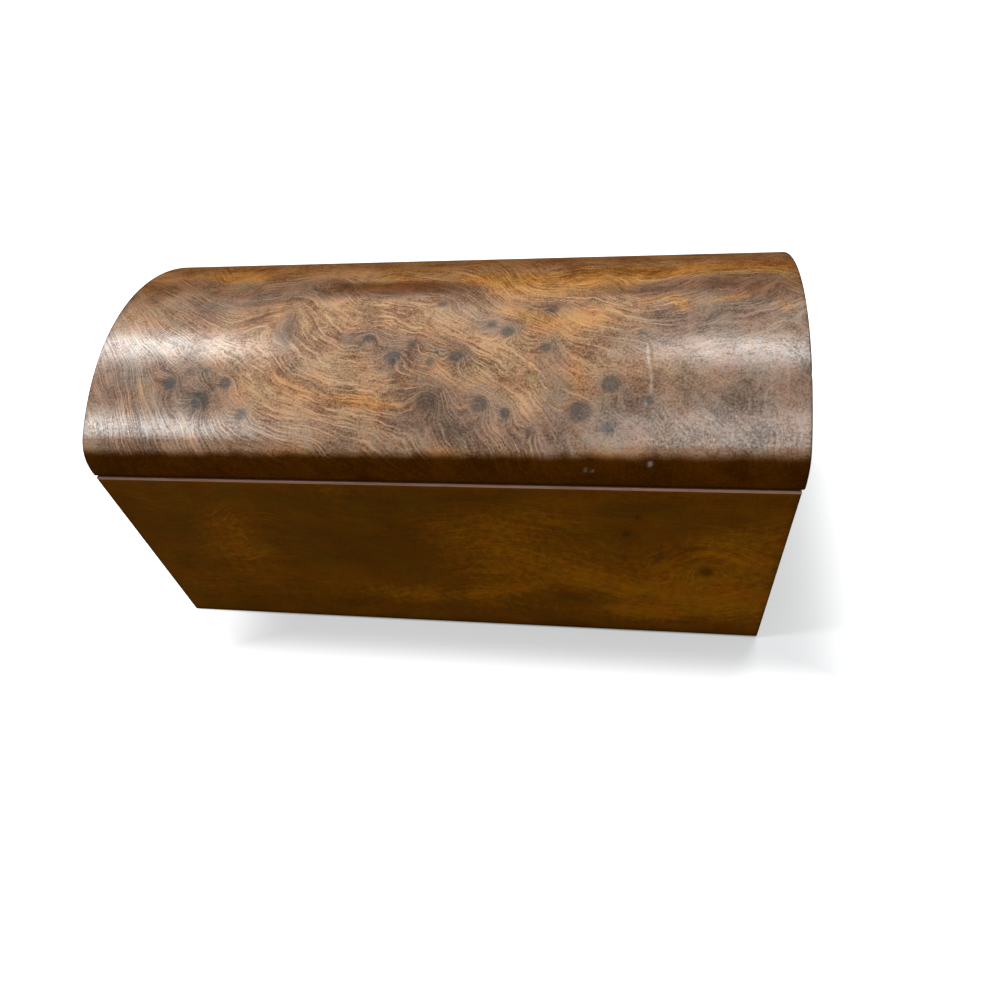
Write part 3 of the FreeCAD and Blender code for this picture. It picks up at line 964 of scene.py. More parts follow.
LID_SWEEPS = lines(
    # The left end: steep lines that fan out towards the front
    "145,288 155,305 164,322", "157,294 167,306 175,318", "181,287 193,302 204,318",
    "195,298 206,312 218,327", "131,335 142,353", "155,335 166,345 177,353",
    "139,364 141,381 144,398", "151,370 154,384 157,398", "124,370 124,398", "105,381 114,400",
    "164,398 175,410", "218,384 225,396 233,407", "240,390 248,404 257,417",
    "244,377 254,392 265,407", "117,417 119,433", "167,417 170,431", "210,416 214,431",
    "127,446 132,456", "112,340 120,356", "150,420 153,440", "190,430 195,446",
    # The golden oval and the feather beside it
    "200,272 208,284 218,290 228,290 245,288 265,281", "220,269 228,278 246,279 265,274",
    "171,275 190,272 215,268", "245,281 260,274 274,268", "271,271 302,266 330,266",
    "258,294 272,302", "272,289 295,284 320,278", "217,302 238,312 265,310",
    "240,330 252,320 265,312 284,305", "245,318 274,308", "285,320 288,334 292,347",
    "310,291 321,304", "345,279 354,286 364,294", "300,270 330,272 360,270",
    # The long arcs that run out level below the middle
    "245,367 259,391 274,401 292,408", "264,365 278,383 292,393 310,400 331,403 354,404",
    "330,398 354,401 374,406 410,406", "251,390 268,408 292,414", "297,404 317,416",
    "331,414 343,424", "274,434 275,449", "322,427 328,440", "344,446 350,453",
    "298,338 305,353", "331,324 337,335", "338,341 356,335 374,332 388,337 414,341",
    "371,312 380,323 390,335", "380,289 400,287 415,287 440,290", "383,281 403,274 415,279",
    "345,377 374,374 388,376", "360,388 388,390", "300,440 303,455", "370,430 376,446",
    # The main sweep over the top and down the middle
    "395,277 424,279 452,281 470,282 481,292 495,304 517,312 538,322 553,335 560,347 563,365",
    "464,272 481,275 493,284 504,297 524,302 538,305 565,305",
    "495,265 507,274 514,288 524,297 538,299 553,297",
    "521,266 533,281 550,282 565,284", "430,268 450,266 470,264",
    "442,312 452,330 467,341 484,353 500,361 514,371 528,388 537,407 540,424 541,445",
    "419,311 438,330 452,344", "431,324 442,341", "480,335 495,350", "475,377 484,391 495,406",
    "503,396 513,410 524,426", "517,398 527,413", "546,355 556,377 557,398",
    "452,377 462,398", "424,370 437,380", "458,420 472,441", "490,431 495,446",
    "550,427 554,446", "395,378 409,377", "395,407 414,406", "457,291 466,303 475,315",
    "395,320 412,335 425,345", "410,440 418,455", "505,440 509,456",
    # Rings of lines in the gold right of the middle
    "567,310 578,320 602,321 625,312 651,304 667,291 674,287",
    "571,298 595,302 617,302 637,302 651,299 664,294", "611,284 620,294 637,299",
    "630,279 645,285 660,282", "545,282 562,274 592,269 625,271 645,278 660,280",
    "581,292 605,285", "617,264 660,268 715,264", "653,284 674,277 697,274 715,271",
    "670,308 678,302 688,294 697,284", "567,327 602,330", "614,330 637,327 651,322",
    "575,263 600,262",
    # The right end: a feather above, plain lines below
    "655,266 684,263 720,263 758,269 780,271 794,282 803,288", "655,298 674,290",
    "670,309 684,298 696,282", "706,300 728,297 746,288 771,276", "724,301 740,298 758,290",
    "752,298 765,290 772,278", "772,313 784,306 793,297", "714,320 725,306",
    "787,285 802,290",
) + lines(
    # Nested arcs in the tan field, from upright to level
    "252,348 262,372 276,390 298,402 330,409 372,412", "232,372 242,396 258,413 284,424 320,431",
    "274,346 286,368 302,383 326,393 356,397 392,400", "288,342 302,362 320,375 346,384 380,390",
    "304,340 318,356 338,367 362,374 384,378", "322,340 338,352 358,360 380,366",
    "212,380 222,404 238,422 262,434 300,441", "240,340 248,360 254,372",
    "300,408 340,413 380,414 400,412",
) + lines(
    # Faint lines in the haze right of the middle and on the right end
    "588,348 610,363 625,376", "625,347 644,364", "556,347 559,363 568,388 575,400",
    "637,384 648,396", "671,391 676,414", "654,381 663,393", "700,420 706,431",
    "667,427 670,440", "554,413 555,441", "608,417 617,424", "588,449 605,459",
    "569,350 588,345",
    "699,378 709,398", "673,394 674,408", "698,419 708,432", "714,442 728,452",
    "740,350 760,342", "700,345 722,333", "760,400 770,420", "740,430 748,446",
    "790,430 794,448", "780,340 800,345", "730,385 745,400", crisp=0.2)

LID_PATCHES = patches(
    Tone.SMOKE,
    (122, 305, 5, 7, 0, 0.9), (186, 285, 12, 5, 0, 0.7), (203, 311, 9, 5, -20, 0.6),
    (113, 380, 7, 8, 0, 0.8), (132, 374, 5, 4, 0, 0.7), (190, 396, 13, 8, 0, 0.75),
    (255, 300, 18, 4.5, 12, 0.85), (300, 284, 15, 5, 8, 0.75), (287, 332, 4, 8, 10, 0.8),
    (343, 292, 8, 4, 25, 0.85), (357, 338, 9, 3.5, 10, 0.85), (396, 352, 10, 7, 0, 0.75),
    (418, 291, 18, 3.6, 2, 0.95), (300, 374, 9, 6, 0, 0.35), (430, 412, 12, 10, -20, 0.85),
    (464, 303, 8, 7, -30, 0.5), (496, 325, 8, 4, -20, 0.8), (456, 352, 8, 4, -30, 0.6),
    (556, 374, 4.5, 15, 5, 0.60), (482, 412, 7, 9, -20, 0.6), (545, 438, 16, 5, 0, 0.6),
    (628, 342, 13, 7, 5, 0.32), (650, 316, 11, 3.5, 20, 0.35), (722, 283, 22, 6.5, 8, 0.95),
    (762, 311, 15, 7, 12, 0.9), (697, 322, 14, 7, 10, 0.85), (782, 380, 12, 9, 0, 0.60),
    (716, 392, 13, 9, 0, 0.4), (640, 412, 9, 6, 0, 0.4), (608, 428, 8, 5, 0, 0.4),
    (405, 288, 22, 3.6, 0, 0.9), (250, 290, 26, 5, 5, 0.5), (330, 288, 14, 4, 0, 0.6),
    (652, 288, 8, 3.5, 0, 0.45), (540, 266, 8, 3, 0, 0.4), (330, 440, 30, 5, 0, 0.3),
    (590, 300, 7, 3, 20, 0.3), (383, 268, 12, 3, 0, 0.4), (128, 385, 26, 34, 0, 0.50),
    (185, 296, 24, 8, 0, 0.55), (775, 395, 30, 30, 0, 0.68), (690, 430, 44, 14, 0, 0.42),
    (780, 285, 14, 5, 0, 0.7), (700, 285, 14, 4, 0, 0.5), (170, 440, 40, 8, 0, 0.40),
    (440, 440, 50, 10, 0, 0.30),
) + patches(
    Tone.GOLD,
    (236, 277, 17, 5.5, 0, 0.9), (152, 290, 8, 8, -40, 0.5), (398, 277, 10, 2.6, 0, 0.7),
    (512, 283, 18, 8, -10, 1.0), (536, 320, 12, 4.5, -28, 0.8), (600, 281, 20, 9, 0, 0.95),
    (590, 318, 13, 6, 0, 0.75), (640, 272, 14, 5, 0, 0.85), (680, 302, 3, 6, 30, 1.0),
    (690, 268, 25, 3.4, 3, 0.95), (742, 294, 10, 2.6, 22, 1.0), (785, 306, 3.4, 5, 40, 0.9),
    (745, 265, 17, 3, 0, 0.85), (796, 281, 5, 6, 0, 0.8), (380, 406, 15, 1.8, -4, 0.85),
    (292, 385, 6, 2.4, -30, 0.6), (441, 362, 6, 4, -40, 0.55), (574, 368, 5, 10, 0, 0.55),
    (590, 398, 6, 6, 0, 0.4), (446, 452, 9, 2.6, 0, 0.7), (600, 456, 5, 2.2, 0, 0.8),
    (256, 384, 10, 10, 0, 0.35), (290, 452, 12, 2.6, 0, 0.6), (345, 312, 8, 5, 0, 0.3),
    (246, 270, 12, 2.6, 0, 0.75), (412, 270, 13, 2.4, 0, 0.70), (778, 270, 11, 3.0, 0, 0.80),
    (700, 272, 12, 2.2, 0, 0.70), (660, 297, 6, 1.4, 25, 0.8), (360, 398, 14, 2.2, -3, 0.5),
) + patches(
    # Dark wood in the figure, and along the lid's back edge painted shade as well
    Tone.DARK,
    (405, 287, 20, 3, 0, 0.8), (760, 284, 16, 4, 0, 0.5), (250, 292, 20, 4, 8, 0.35),
    (470, 292, 8, 4, -30, 0.4), (345, 290, 9, 4, 20, 0.6), (288, 330, 4, 7, 10, 0.35),
    (427, 406, 8, 6, -20, 0.4), (530, 306, 22, 3, -12, 0.3), (150, 285, 14, 10, 0, 0.55),
    (190, 272, 16, 8, 0, 0.6), (300, 268, 30, 5, 0, 0.45), (262, 317, 7, 1.1, 28, 0.9),
    (268, 303, 10, 1.6, 8, 0.5), (402, 287, 16, 5, 0, 0.80), (618, 289, 14, 4, 5, 0.60),
    (700, 287, 14, 4, 5, 0.50), (772, 289, 13, 5, 5, 0.55), (158, 270, 9, 5, 0, 0.60),
    (165, 287, 12, 5, 0, 0.35), (420, 291, 15, 2.4, 2, 0.6), (556, 305, 5, 1.2, 0, 0.6),
    (640, 291, 12, 1.0, 5, 0.5), (735, 276, 12, 2.6, 8, 0.5), (496, 266, 12, 2.0, 0, 0.5),
    (119, 300, 4, 6, 0, 0.6),
)

LID_EYES = (
    Spot(175, 345, 1.6, 0.6), Spot(200, 400, 2.6), Spot(225, 383, 1.7), Spot(240, 415, 2.0, 0.8),
    Spot(170, 383, 2.2, 0.9), Spot(190, 372, 1.9, 0.6), Spot(207, 370, 1.4, 0.6),
    Spot(347, 286, 2.0, 0.8), Spot(370, 338, 1.9, 0.7), Spot(393, 357, 2.6, 0.8),
    Spot(412, 345, 1.5, 0.8), Spot(430, 362, 1.6, 0.7), Spot(443, 304, 1.7, 0.7),
    Spot(456, 356, 2.0, 0.9), Spot(427, 400, 2.9, 0.9), Spot(440, 390, 1.0, 0.7),
    Spot(479, 404, 2.4, 0.9), Spot(505, 413, 1.5, 0.9), Spot(492, 324, 1.6, 0.8),
    Spot(507, 332, 2.0, 0.9), Spot(546, 347, 2.0, 0.8), Spot(553, 309, 1.9, 0.8),
    Spot(580, 412, 3.0), Spot(611, 384, 2.5), Spot(608, 428, 2.2, 0.7), Spot(648, 400, 1.9, 0.7),
    Spot(528, 432, 1.4, 0.6), Spot(418, 287, 1.6, 0.5), Spot(290, 316, 1.5, 0.5),
    Spot(642, 333, 1.5, 0.6), Spot(437, 352, 0.8, 0.7),
)

LID_CHIPS = (Chip(646, 404, 0.5, 0.5, 0.16), Chip(650, 464, 0.55, 0.55, 0.2),
             Chip(585, 470, 0.4, 0.35), Chip(592, 471, 0.35, 0.3))
LID_CRACK = ((649.0, 346.0), (650.0, 362.0), (651.5, 378.0), (651.0, 392.0))
EDGE_NICK = (808.0, 373.0)

# Grain lines over the back, in millimetres along the lid from its middle and round it
LID_BACK_PATHS = (((-95, 45), (-60, 50), (-20, 44)), ((-10, 52), (30, 47), (70, 52)),
                  ((40, 44), (95, 50)), ((-80, 54), (-50, 55)), ((0, 45), (20, 55)))

FRONT_SWEEPS = lines(
    "120,498 200,512 280,518", "180,560 240,553 300,548", "330,520 400,528 470,522",
    "380,604 430,594 490,584", "480,508 540,520 600,526", "540,556 590,570 640,590",
    "600,500 660,508 720,505", "655,572 680,554 712,550 745,562", "640,598 690,606 745,596",
    "690,578 700,564 718,563 734,574", "210,590 270,584 330,590", "700,520 740,528 780,520",
    crisp=0.9)

FRONT_PATCHES = patches(
    Tone.SMOKE,
    (395, 540, 20, 22, 0, 0.55), (240, 602, 20, 6, 0, 0.6), (320, 495, 46, 6, 0, 0.65),
    (430, 500, 30, 7, 0, 0.6), (600, 598, 18, 5, 0, 0.5), (340, 540, 26, 16, 0, 0.75),
    (160, 522, 18, 26, 0, 0.65), (645, 508, 18, 3, 6, 0.60), (480, 496, 13, 2.5, 5, 0.60),
    (612, 530, 24, 10, 0, 0.40), (285, 563, 8, 3, 0, 0.45), (390, 526, 6, 2.5, 0, 0.6),
    (600, 600, 12, 4, 0, 0.4),
) + patches(
    Tone.GOLD,
    (235, 542, 19, 17, 0, 0.60), (485, 535, 32, 20, 0, 0.42), (742, 548, 18, 10, -10, 0.65),
    (712, 602, 34, 10, 0, 0.85), (700, 575, 20, 9, 0, 0.50), (578, 578, 22, 7, -20, 0.60),
    (425, 594, 24, 6, -6, 0.55), (548, 520, 7, 2, -10, 0.60), (205, 580, 12, 7, 0, 0.35),
    (530, 560, 50, 30, 0, 0.25),
) + patches(
    # Dark wood, thin dark lines along the top edge, and a painted shadow line along the foot
    Tone.DARK,
    (610, 492, 34, 3, -2, 0.55), (740, 500, 24, 4, -3, 0.6), (480, 494, 16, 2.5, 0, 0.6),
    (170, 570, 26, 12, 0, 0.45), (400, 545, 8, 10, 0, 0.35), (300, 600, 60, 3, 0, 0.5),
    (140, 505, 20, 10, 0, 0.35),
)

FRONT_EYES = (Spot(706, 572, 2.4, 0.8), Spot(390, 527, 1.3, 0.6), Spot(284, 562, 1.4, 0.5),
              Spot(640, 583, 1.0, 0.4))


@dataclass
class FigureMap:
    """Where the grain lines run on a sheet of veneer, and its tones, over a grid in mm.

    In its methods u is how far across the sheet a place lies, and v how far up it.
    """

    left: float
    right: float
    low: float
    high: float
    step: float = 0.6
    lean: Pair = (1.0, -0.6)
    reach: float = 3.6
    far_reach: float = 15.0
    far_share: float = 0.004
    path_step: float = 2.0
    rounds: int = 14
    spacing: Pair = (0.55, 1.8)
    blank_crisp: float = 0.4
    eye_depth: float = 1.3
    eye_reach: float = 1.1
    eye_halo: float = 0.42
    paths: list[np.ndarray] = field(default_factory=list)
    clear: list[float] = field(default_factory=list)
    patches: list[Patch] = field(default_factory=list)
    eyes: list[Spot] = field(default_factory=list)
    swirls: list[Spot] = field(default_factory=list)

    def add_path(self, places: Sequence[Pair], clear: float) -> None:
        """Adds a grain line, and how clear the lines near it are."""
        self.paths.append(np.array(places, dtype=float))
        self.clear.append(clear)

    def trace(self, sweeps: Sequence[Sweep], seen: Sequence[Patch], eyes: Sequence[Spot],
              locate: Locate) -> None:
        """Adds the figure that the photo shows.

        Args:
            sweeps: its grain lines.
            seen: its patches.
            eyes: its eyes.
            locate: finds where on the sheet a place in the photo lies.
        """
        for sweep in sweeps:
            self.add_path([locate(*place) for place in sweep.through], sweep.crisp)
        for marks, found in ((seen, self.patches), (eyes, self.eyes)):
            for mark in marks:
                u, v = locate(mark.x, mark.y)
                found.append(replace(mark, x=u, y=v))

    def flow(self, u: np.ndarray, v: np.ndarray) -> tuple[np.ndarray, np.ndarray]:
        """The grain's direction at each place, weighed from the paths near it."""
        total = [np.full(u.shape, 1e-5 * part) for part in self.lean]
        doubled = [np.zeros(u.shape), np.zeros(u.shape)]
        weight = np.full(u.shape, 1e-6)
        shown = np.zeros(u.shape)
        for path, clear in zip(self.paths, self.clear):
            for a, b in zip(path[:-1], path[1:]):
                length = max(float(np.hypot(*(b - a))), 1e-6)
                count = max(1, int(length / self.path_step))
                c, s = (b - a) / length
                for n in range(count):
                    place = a + (b - a) * (n + 0.5) / count
                    gap = (u - place[0]) ** 2 + (v - place[1]) ** 2
                    near = np.exp(-gap / (2 * self.reach**2))
                    near += self.far_share * np.exp(-gap / (2 * self.far_reach**2))
                    total[0] += near * c
                    total[1] += near * s
                    doubled[0] += near * (c * c - s * s)
                    doubled[1] += near * 2 * c * s
                    weight += near
                    shown += near * clear
        self.crisp = np.clip(np.hypot(*doubled) * 0.8, 0.0, 1.0) * shown / weight
        turn = np.arctan2(doubled[1], doubled[0]) / 2 if self.paths else np.arctan2(*total[::-1])
        c, s = np.cos(turn), np.sin(turn)
        hand = np.where(c * total[0] + s * total[1] < 0, -1.0, 1.0)
        return hand * c, hand * s

    def settle(self, steep_u: np.ndarray, steep_v: np.ndarray) -> np.ndarray:
        """The height, on the grid, whose slopes come nearest to the given ones."""
        source = np.zeros_like(steep_u)
        source[1:, :] += (steep_u[1:, :] + steep_u[:-1, :]) / 2
        source[:-1, :] -= (steep_u[1:, :] + steep_u[:-1, :]) / 2
        source[:, 1:] += (steep_v[:, 1:] + steep_v[:, :-1]) / 2
        source[:, :-1] -= (steep_v[:, 1:] + steep_v[:, :-1]) / 2
        columns, rows = source.shape
        mirrored = np.block([[source, source[:, ::-1]], [source[::-1], source[::-1, ::-1]]])
        wave_u = 2 * np.pi * np.fft.fftfreq(2 * columns)[:, None]
        wave_v = 2 * np.pi * np.fft.fftfreq(2 * rows)[None, :]
        divisor = 4 - 2 * np.cos(wave_u) - 2 * np.cos(wave_v)
        divisor[0, 0] = 1.0
        answer = np.fft.ifft2(np.fft.fft2(mirrored) / divisor).real
        return answer[:columns, :rows]

    def solve(self) -> None:
        """Finds the height whose contours best follow the grain's direction.

        The lines may stand closer or wider apart where the direction asks for it.
        """
        columns = int(round((self.right - self.left) / self.step)) + 1
        rows = int(round((self.high - self.low) / self.step)) + 1
        self.us = np.linspace(self.left, self.right, columns)
        self.vs = np.linspace(self.low, self.high, rows)
        u, v = np.meshgrid(self.us, self.vs, indexing="ij")
        way_u, way_v = self.flow(u, v)
        if not self.paths:
            self.crisp = np.full(u.shape, self.blank_crisp)
        spacing = np.ones(u.shape)
        for _ in range(self.rounds):
            self.height = self.settle(-way_v * spacing, way_u * spacing)
            slope_u, slope_v = np.gradient(self.height)
            spacing = np.clip(slope_v * way_u - slope_u * way_v, *self.spacing)
        self.height *= self.step

    def read(self, grid: np.ndarray, u: np.ndarray, v: np.ndarray) -> np.ndarray:
        """A grid's value at each place, between its nearest points."""
        fu = np.clip((u - self.left) / self.step, 0, len(self.us) - 1.001)
        fv = np.clip((v - self.low) / self.step, 0, len(self.vs) - 1.001)
        iu, iv = fu.astype(int), fv.astype(int)
        fu, fv = fu - iu, fv - iv
        return ((grid[iu, iv] * (1 - fu) + grid[iu + 1, iv] * fu) * (1 - fv)
                + (grid[iu, iv + 1] * (1 - fu) + grid[iu + 1, iv + 1] * fu) * fv)

    def line_height(self, u: np.ndarray, v: np.ndarray) -> np.ndarray:
        """The solved height at each place, with the hollows of the eyes and the swirls."""
        found = self.read(self.height, u, v)
        for eye in self.eyes:
            gap = (u - eye.x) ** 2 + (v - eye.y) ** 2
            hollow = np.exp(-gap / (2 * (self.eye_reach * eye.radius) ** 2))
            found = found - self.eye_depth * eye.radius * eye.strength * hollow
        for swirl in self.swirls:
            gap = (u - swirl.x) ** 2 + (v - swirl.y) ** 2
            found = found + swirl.strength * np.exp(-gap / (2 * swirl.radius**2))
        return found

    def tones(self, u: np.ndarray, v: np.ndarray) -> np.ndarray:
        """The four shares at each place: smoke, gold, eye, and dark wood with painted shade."""
        found = np.zeros(u.shape + (4,))

        def lay(tone: Tone, cover: np.ndarray) -> None:
            """Covers more of one tone's layer, never past 1."""
            layer = found[..., tone.value]
            found[..., tone.value] = layer + cover * (1 - layer)

        for patch in self.patches:
            turn = math.radians(patch.tilt)
            c, s = math.cos(turn), math.sin(turn)
            a = ((u - patch.x) * c + (v - patch.y) * s) / patch.wide
            b = ((v - patch.y) * c - (u - patch.x) * s) / patch.high
            lay(patch.tone, patch.strength * np.exp(-((a * a + b * b) ** 1.3) * 0.9))
        for eye in self.eyes:
            gap = ((u - eye.x) ** 2 + (v - eye.y) ** 2) / eye.radius**2
            lay(Tone.EYE, eye.strength * np.exp(-(gap**1.5) * 0.7))
            lay(Tone.SMOKE, self.eye_halo * eye.strength * np.exp(-gap / 5.0))
        return np.clip(found, 0, 1)

    def paint(self, obj: bpy.types.Object, places: tuple[np.ndarray, np.ndarray],
              tones: np.ndarray, shade_and_wear: np.ndarray) -> None:
        """Stores the figure, its tones, and its painted shade and wear at a mesh's vertices.

        Args:
            obj: the sheet.
            places: where each vertex lies across and up the sheet.
            tones: the four tones at each vertex.
            shade_and_wear: the painted shade band, the chips, the painted shade along the edges, and
                crispness at each vertex.
        """
        figure = np.stack([self.line_height(*places), *places], axis=-1)
        set_attribute(obj, "figure", "FLOAT_VECTOR", figure)
        set_attribute(obj, "tones", "FLOAT_COLOR", tones)
        set_attribute(obj, "shade_and_wear", "FLOAT_COLOR", shade_and_wear)


def scatter_figure(figure: FigureMap, seed: int, eyes: int, swirls: int,
                   keep: Optional[Callable[[float, float], bool]] = None) -> None:
    """Adds eyes, swirls and patches by chance, the same each time.

    Args:
        figure: the map to add them to.
        seed: the seed of the draw.
        eyes: how many eyes.
        swirls: how many swirls, and patches of each tone.
        keep: which places are used, or all.
    """
    draw = np.random.default_rng(seed)

    def place() -> Pair:
        """A place on the sheet."""
        while True:
            u, v = draw.uniform(figure.left, figure.right), draw.uniform(figure.low, figure.high)
            if keep is None or keep(u, v):
                return u, v

    groups = [place() for _ in range(max(1, eyes // 5))]
    for n in range(eyes):
        gu, gv = groups[n % len(groups)]
        u, v = gu + draw.normal(0, 9), gv + draw.normal(0, 6)
        if keep is None or keep(u, v):
            figure.eyes.append(Spot(u, v, draw.uniform(1.1, 2.7), draw.uniform(0.6, 1.0)))
    for _ in range(swirls):
        figure.swirls.append(Spot(*place(), draw.uniform(5, 14), draw.uniform(-9, 9)))
        for tone, size, strength in ((Tone.SMOKE, 13, 0.8), (Tone.GOLD, 12, 0.8)):
            figure.patches.append(Patch(
                tone, *place(), size * draw.uniform(0.5, 1.6), size * draw.uniform(0.25, 0.6),
                draw.uniform(-40, 40), strength * draw.uniform(0.6, 1.1)))


# The lid


@dataclass
class LidSection:
    """The lid's outline across its length, in millimetres."""

    base_half_length: float = 99.5
    base_half_depth: float = 48.25
    base_height: float = 69.4
    gap: float = 0.4
    end_overhang: float = 0.7
    front_setback: float = 0.3
    rim: float = 0.6
    shoulder: float = 11.5
    height: float = 22.4
    veneer: float = 0.9
    hinge_inset: float = 2.4
    stop_half_angle: float = 50.5
    sight_steps: int = 1600
    halvings: int = 40

    def __post_init__(self) -> None:
        """Works out the lid's place, the hinges' axis and the crown."""
        self.middle = self.front_setback / 2
        self.half_depth = self.base_half_depth - self.front_setback / 2
        self.half_length = self.base_half_length + self.end_overhang
        self.foot = self.base_height + self.gap
        self.axis_y = self.base_half_depth - self.hinge_inset
        self.axis_z = self.base_height + self.gap / 2
        rise = self.height - self.rim
        reach = self.half_depth - self.shoulder
        self.crown = (reach**2 + rise**2 - self.shoulder**2) / (2 * (rise - self.shoulder))
        self.crown_z = self.foot + self.height - self.crown
        self.tangent = math.asin(reach / (self.crown - self.shoulder))
        self.reach = reach
        self.crown_run = self.crown * self.tangent
        self.shoulder_run = self.shoulder * (math.pi / 2 - self.tangent)
        self.run = self.crown_run + self.shoulder_run + self.rim

    def point(self, along: np.ndarray, inset: object = 0.0) -> tuple[np.ndarray, np.ndarray]:
        """The outline at a distance round it from the crown line.

        Args:
            along: millimetres from the crown line, less than 0 to the front.
            inset: how deep below the surface.

        Returns:
            y and z.
        """
        along = np.asarray(along, dtype=float)
        side, far = np.sign(along), np.abs(along)
        on_crown = np.minimum(far, self.crown_run) / self.crown
        on_shoulder = np.clip(far - self.crown_run, 0, self.shoulder_run) / self.shoulder
        drop = np.clip(far - self.crown_run - self.shoulder_run, 0, None)
        lean = on_crown + on_shoulder
        in_crown = far <= self.crown_run
        crown_y = (self.crown - inset) * np.sin(on_crown)
        crown_z = self.crown_z + (self.crown - inset) * np.cos(on_crown)
        shoulder_y = self.reach + (self.shoulder - inset) * np.sin(lean)
        shoulder_z = self.foot + self.rim + (self.shoulder - inset) * np.cos(lean) - drop
        y = self.middle + side * np.where(in_crown, crown_y, shoulder_y)
        return y, np.where(in_crown, crown_z, shoulder_z)

    def bevel(self, y: np.ndarray) -> np.ndarray:
        """The height of the stop bevel behind the hinges."""
        slope = math.tan(math.radians(self.stop_half_angle))
        return self.axis_z + (y - self.axis_y) * slope

    def back_end(self, inset: float) -> float:
        """How far round the outline the back bevel is met.

        Args:
            inset: how deep below the surface.

        Returns:
            Millimetres from the crown line.
        """
        low, high = self.crown_run, self.run
        for _ in range(self.halvings):
            mid = (low + high) / 2
            y, z = self.point(mid, inset)
            low, high = (mid, high) if z > self.bevel(y) else (low, mid)
        return low

    def locate(self, studio: Studio, x: float, y: float) -> Pair:
        """Where the line of sight through a place in the photo meets the lid.

        Args:
            studio: holds the camera.
            x: pixels from the left.
            y: pixels from the top.

        Returns:
            Millimetres along the lid from its middle, and round it from its crown line.
        """
        start, way = studio.ray(x, y)
        rounds = np.linspace(-self.run, self.run, self.sight_steps)
        py, pz = self.point(rounds)
        side = way[2] * (py - start[1]) - way[1] * (pz - start[2])
        hits = np.nonzero(side[:-1] * side[1:] <= 0)[0]
        best = None
        for n in hits:
            share = side[n] / (side[n] - side[n + 1])
            hit_y = py[n] + share * (py[n + 1] - py[n])
            far = (hit_y - start[1]) / way[1]
            if best is None or far < best[0]:
                best = (far, rounds[n] + share * (rounds[n + 1] - rounds[n]))
        if best is None:
            return self.locate(studio, x, y + 1.0)
        return float(start[0] + best[0] * way[0]), float(best[1])

